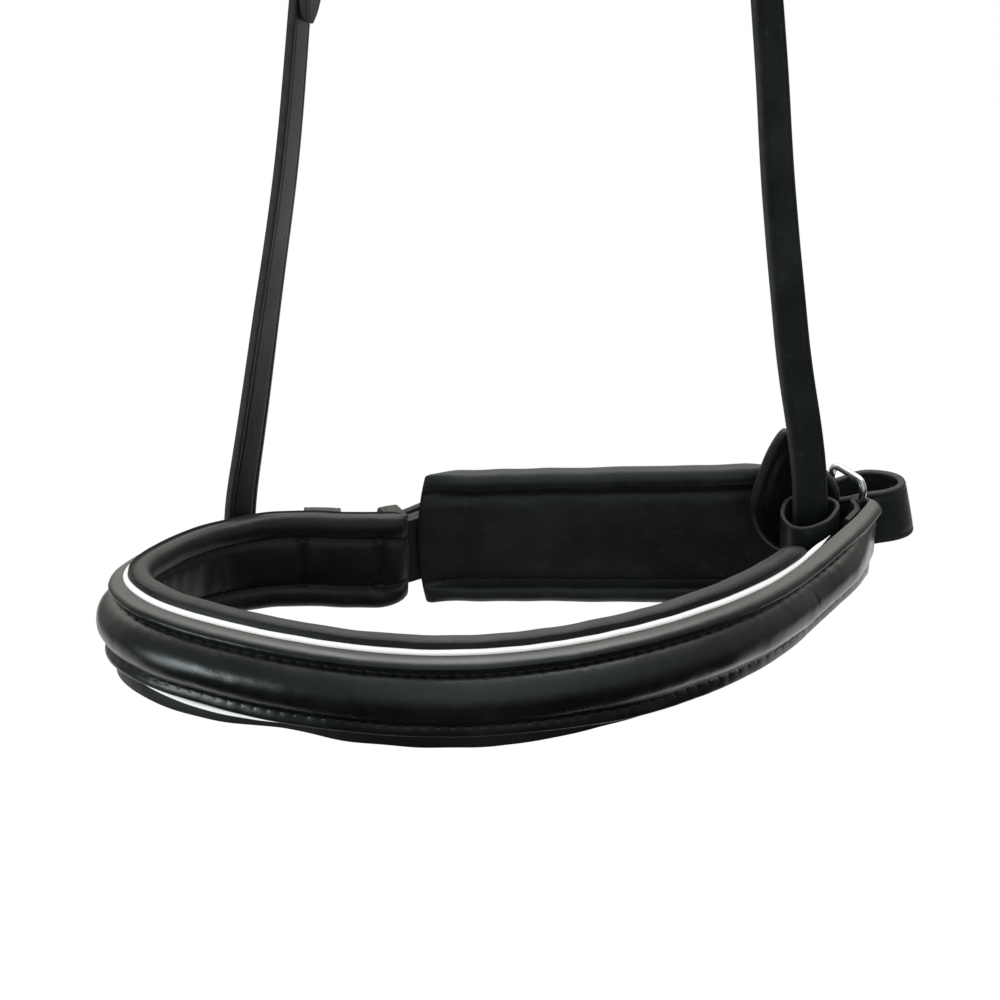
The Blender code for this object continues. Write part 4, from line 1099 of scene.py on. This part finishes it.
def make_crank_keepers():
    seam = seam_line()
    for name, node, x, depth, width in (("crank_keeper_near", "crank_fixed_keeper", -36, 10.6, 7),
                                        ("crank_keeper_far", "crank_second_keeper", -61, 7.0, 13)):
        i = min(range(len(seam)), key=lambda k: abs(seam[k].x - x) + max(0, -12 - seam[k].y))
        place = seam[i] + outward_at(seam, i) * (BACKING_THICKNESS / 2 + 2 * GAP)
        make_keeper(name, node, place, direction_at(seam, i), hung_level(place.x), depth, width, "noseband")


# Headstall


SIDE_LINES = {side: smooth_line([(x, 0, z) for x, z in points], 3) for side, points in SIDES.items()}


def head_station(side, height):
    """Centre of one side of the headstall at a height."""
    path = SIDE_LINES[side]
    x = float(np.interp(height, [p.z for p in path], [p.x for p in path]))
    foot = STRAP_FOOT_Y[side]
    return Vector((x, foot + (CROWN_Y - foot) * ease(height / 300), height))


def head_turn(side, height):
    """Angle of the strap's width from +X, in degrees."""
    if side < 0:
        return float(np.interp(height, [0, 90, 185, 320], [45, 60, 68, 90]))
    return float(np.interp(height, [0, 185, 340], [25, 42, 90]))


def head_axes(side, direction, height):
    """X along the strap, Y across it, Z outward on the side where the tip lies."""
    a = radians(head_turn(side, height))
    across = Vector((-cos(a), -sin(a), 0))
    across = (across - direction * across.dot(direction)).normalized()
    return direction, across, direction.cross(across)


def side_line(side, low, high, step):
    count = max(2, round((high - low) / step))
    return [head_station(side, low + (high - low) * i / count) for i in range(count + 1)]


def crown_line(left_end, right_end):
    """Arch over the poll between two ends, about its flat top facet."""
    half_facet = asin(CROWN_FACET / 2 / CROWN_RADIUS)
    angles = [half_facet + (radians(84) - half_facet) * i / 9 for i in range(10)]
    radius = CROWN_RADIUS / cos(half_facet)

    def half_arch(sign, end):
        half = [Vector((CROWN_X + sign * radius * sin(a), CROWN_Y, CROWN_TOP - CROWN_RADIUS + radius * cos(a)))
                for a in angles]
        return half + smooth_line([half[-1], half[-1] + Vector((3 * sign, 0, -40)), end], 9)[1:-1]

    return half_arch(-1, left_end)[::-1] + half_arch(1, right_end)


def fine_stations(rows, step, narrow=None):
    """Stations of a strap on a smooth line through rows of (centre, across)."""
    line = smooth_line([(*centre, *across) for centre, across in rows], step)
    centres = [Vector(p[:3]) for p in line]
    stations = []
    for i, centre in enumerate(centres):
        along = direction_at(centres, i)
        across = Vector(line[i][3:])
        across = (across - along * across.dot(along)).normalized()
        outward = along.cross(across)
        sway = wander(UP * centre.z, 34, 0.35, centre.x)
        share = narrow(centre) if narrow else 1.0
        stations.append((centre + outward * (0.5 * sway) + across * sway, across, outward, share))
    return stations


def head_heel():
    """Heel bar of the head buckle, behind the strap's centre line."""
    outward = head_axes(-1, UP, HEAD_HEEL_Z)[2]
    return head_station(-1, HEAD_HEEL_Z) - outward * (STRAP_THICKNESS / 2 + GAP + HEAD_WIRE)


def head_buckle_placement():
    return frame_of(*head_axes(-1, UP, HEAD_HEEL_Z), head_heel()) @ Matrix.Rotation(radians(-25), 4, "Y")


def make_cheek_strap():
    """Left cheek strap, folded round the buckle's heel bar and sewn down."""
    line = side_line(-1, STRAP_FOOT, HEAD_HEEL_Z - 4, 9)
    rows = [(point, head_axes(-1, direction_at(line, i), point.z)[1]) for i, point in enumerate(line)]
    _, across, outward = head_axes(-1, UP, HEAD_HEEL_Z)
    ring = HEAD_WIRE + GAP + STRAP_THICKNESS / 2
    for a in map(radians, range(0, 181, 30)):
        rows.append((head_heel() + outward * (ring * cos(a)) + UP * (ring * sin(a)), across))
    for drop, inset in ((8, 4.6), (16, 3.6), (26, 3.6)):
        point = head_station(-1, HEAD_HEEL_Z - drop)
        _, across, outward = head_axes(-1, UP, point.z)
        rows.append((point - outward * inset, across))
    piece = add_strap("cheek_strap_leather", fine_stations(rows, 1.8), strap_section(STRAP_WIDTH, STRAP_THICKNESS),
                      "headstall", "left_cheek_strap")
    cut(piece, [oblong(shifted(head_buckle_placement(), 1), 10, 2.6, 14)])
    places = []
    for side in (1, -1):
        for k in range(6):
            height = HEAD_HEEL_Z - 8 - 2.6 * k
            _, across, outward = head_axes(-1, UP, height)
            places.append((head_station(-1, height) + across * (side * 4.4) - outward * 5.25, UP, -outward))
    add_stitches("cheek_stitches", places, "headstall", length=2.0, radius=0.28)


def make_headpiece():
    """One strap from the right hanger loop over the poll to its tip below the buckle."""
    left = side_line(-1, TIP_Z, HEAD_HEEL_Z - 8, 9)[:-1]
    left += side_line(-1, HEAD_HEEL_Z - 8, HEAD_HEEL_Z + 32, 4)
    right = side_line(1, STRAP_FOOT, 300, 9)[::-1]
    path = left + crown_line(head_station(-1, HEAD_HEEL_Z + 42), head_station(1, 300)) + right
    rows = []
    for i, point in enumerate(path):
        side = -1 if point.x < CROWN_X else 1
        lift = 0.0
        if side < 0 and point.z < HEAD_HEEL_Z + 60:
            lift = (STRAP_THICKNESS + 0.4) * (1 - ease((point.z - HEAD_HEEL_Z + 1) / 14))
        _, across, outward = head_axes(side, direction_at(path, i) * -side, point.z)
        rows.append((point + outward * lift, across))

    def narrow(point):
        if point.x < CROWN_X and point.z < TIP_Z + TIP_LENGTH:
            return 0.10 + 0.90 * sqrt(max(0.0, (point.z - TIP_Z) / TIP_LENGTH))
        return 1.0

    stations = fine_stations(rows, 2.2, narrow)
    piece = add_strap("headpiece_leather", stations, strap_section(STRAP_WIDTH, STRAP_THICKNESS), "headstall",
                      "headpiece_strap")
    holes = [oblong(shifted(head_buckle_placement(), 6.3, 2.2), 11.5, 2.4, 14)]
    for height in (189, 229, 285, 303, 321):
        centre, across, outward, _ = min(stations, key=lambda s: abs(s[0].z - height) + 1000 * (s[0].x > CROWN_X))
        holes.append(oblong(frame_of(across.cross(outward), across, outward, centre), 2.6, 2.1, 6))
    cut(piece, holes)


def make_head_buckle():
    make_buckle("head", head_buckle_placement(), 18.0, HEAD_LENGTH, HEAD_WIRE, 0.8)


def make_head_keepers():
    """A fixed keeper under the buckle and a sliding one above the tip, each a closed band."""
    wall = 1.4
    inner = -STRAP_THICKNESS / 2 - 0.4 - wall / 2
    outer = 1.5 * STRAP_THICKNESS + 0.8 + wall / 2
    half = (STRAP_WIDTH + 1.0 + wall) / 2
    outline = rounded_box(-half, half, inner, outer, 1.25, 6)
    section = strap_section(9, wall, corner=0.5, crease=1.5, groove=0.15)
    for name, node, height, body in (("head_keeper_fixed", "head_fixed_keeper", 216, "headstall"),
                                     ("head_keeper_slider", "head_sliding_keeper", 200, "head_keeper")):
        slope = (head_station(-1, height + 3) - head_station(-1, height - 3)).normalized()
        along, across, outward = head_axes(-1, slope, height)
        frame = frame_of(across, outward, along, head_station(-1, height))
        add_strap(name, band_stations(frame, outline, True), section, body, node, True)


# Stage


def make_camera():
    look = Vector((0, cos(CAMERA_ELEVATION), -sin(CAMERA_ELEVATION)))
    data = bpy.data.cameras.new("camera")
    data.lens = CAMERA_LENS
    data.sensor_width = 36
    data.clip_start = 0.05
    camera = linked("camera", data)
    camera.location = (DATUM - look * CAMERA_DISTANCE) * MM
    camera.rotation_euler = look.to_track_quat("-Z", "Y").to_euler()
    bpy.context.scene.camera = camera


def make_world():
    """White to the camera; a bright room above and behind, dim in front and to the sides."""
    world = bpy.data.worlds.new("studio")
    bpy.context.scene.world = world
    web = Web(world)
    split = web.add("SeparateXYZ", Vector=web.add("TexCoord").outputs["Generated"])
    x, y, z = (split.outputs[name] for name in "XYZ")
    sides = web.times(web.ramp(x, -0.58, -0.15, 0.36, 1.0), web.ramp(x, 0.45, 0.72, 1.0, 0.5))
    room = web.times(web.ramp(web.plus(web.times(y, 0.15), z), -0.50, 0.18, 0.02, 1.0),
                     web.ramp(web.plus(y, z), 0.80, 1.22, 0.58, 3.1))
    room = web.times(room, web.ramp(y, 0.4, 0.9, 1.0, 0.42))
    room = web.times(room, web.larger(sides, web.ramp(y, 0.0, 0.4, 0.0, 1.0)))
    rays = web.add("LightPath").outputs
    diffuse = rays["Is Diffuse Ray"]
    room = web.times(room, web.maths("SUBTRACT", 1.0, diffuse))
    level = web.larger(web.plus(room, web.times(diffuse, 0.88)), rays["Is Camera Ray"])
    tint = web.mix(web.ramp(y, -0.3, 0.6, 0.0, 1.0), (0.88, 0.98, 1.0), (1.0, 0.975, 0.90))
    web.fill(world.node_tree.nodes["Background"], Strength=level,
             Color=web.mix(rays["Is Glossy Ray"], (1.0, 1.0, 1.0), tint))


def add_lamp(name, place, aim, size, power, colour):
    data = bpy.data.lights.new(name, "AREA")
    data.shape = "RECTANGLE"
    data.size, data.size_y = size
    data.energy = power
    data.color = colour
    lamp = linked(name, data)
    lamp.location = place
    lamp.rotation_euler = (Vector(aim) - Vector(place)).to_track_quat("-Z", "Y").to_euler()


def make_lights():
    """Places and sizes in metres: a soft light above, and the streak at the front left."""
    add_lamp("overhead", (0.0, 0.22, 0.82), (-0.05, -0.05, -0.5), (1.3, 0.6), 6.6, (1.0, 1.0, 1.0))
    add_lamp("low_left", (-0.83, -0.46, -0.57), (-0.106, -0.09, -0.505), (0.30, 0.20), 1.6, (0.86, 1.0, 1.0))


def make_floor():
    """Pale floor below and behind the noseband, white to the rays that look at the background."""
    side, back, level = 0.8, 2.4, -0.80
    data = bpy.data.meshes.new("floor")
    data.from_pydata([(-side, 0, level), (side, 0, level), (side, back, level), (-side, back, level)], [],
                     [(0, 1, 2, 3)])
    material, web, shader = start_material("floor")
    web.fill(shader, Base_Color=(0.9, 0.9, 0.9), Roughness=0.9)
    rays = web.add("LightPath").outputs
    share = web.larger(web.larger(rays["Is Camera Ray"], rays["Is Glossy Ray"]), rays["Is Transmission Ray"])
    mixer = web.add("MixShader")
    for socket, value in zip(mixer.inputs, (web.times(share, 0.9), shader.outputs[0],
                                            web.add("Emission", Strength=1.0).outputs[0])):
        web.put(socket, value)
    web.put(material.node_tree.nodes["Material Output"].inputs[0], mixer.outputs[0])
    data.materials.append(material)
    floor = linked("floor", data)


def make_looks():
    LOOKS.update({
        "cover": leather("cover_leather", (0.0030, 0.0036, 0.0040), (0.0055, 0.0063, 0.0068), (0.034, 0.031, 0.028),
                         roughness=0.31, specular=0.58, grain=0.6, creases=0.3, coat=0.2),
        "strap": leather("strap_leather", (0.0068, 0.0090, 0.0098), (0.0110, 0.0142, 0.0156), (0.030, 0.029, 0.028),
                         roughness=0.42, specular=0.30, grain=0.9, creases=0.5),
        "lining": leather("lining_leather", (0.0024, 0.0028, 0.0028), (0.0056, 0.0062, 0.0060),
                          (0.030, 0.029, 0.027), roughness=0.46, specular=0.44, grain=1.2, creases=1.0,
                          sheen=0.04),
        "pad": leather("pad_leather", (0.0058, 0.0078, 0.0090), (0.0106, 0.0136, 0.0152), (0.03, 0.029, 0.027),
                       roughness=0.50, specular=0.48, grain=1.3, creases=1.1, sheen=0.03),
        "piping": white_cord("white_piping"),
        "steel": steel("polished_steel"),
        "thread": plain_fibre("black_thread", (0.006, 0.006, 0.007), (0.020, 0.020, 0.021), 2200.0, 0.5),
        "felt": plain_fibre("felt", (0.26, 0.26, 0.26), (0.36, 0.36, 0.35), 900.0, 0.95),
    })


def main():
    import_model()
    bpy.context.scene.view_settings.view_transform = "Standard"
    for make in (make_camera, make_world, make_lights, make_floor, make_looks, make_cover, make_lining, make_backing,
                 make_filling, make_piping, make_ring, make_sleeves, make_guard, make_chin_cushion,
                 make_chin_backing, make_chin_loops, make_crank_strap, make_crank_buckle, make_crank_keepers,
                 make_cheek_strap, make_headpiece, make_head_buckle, make_head_keepers):
        make()


main()
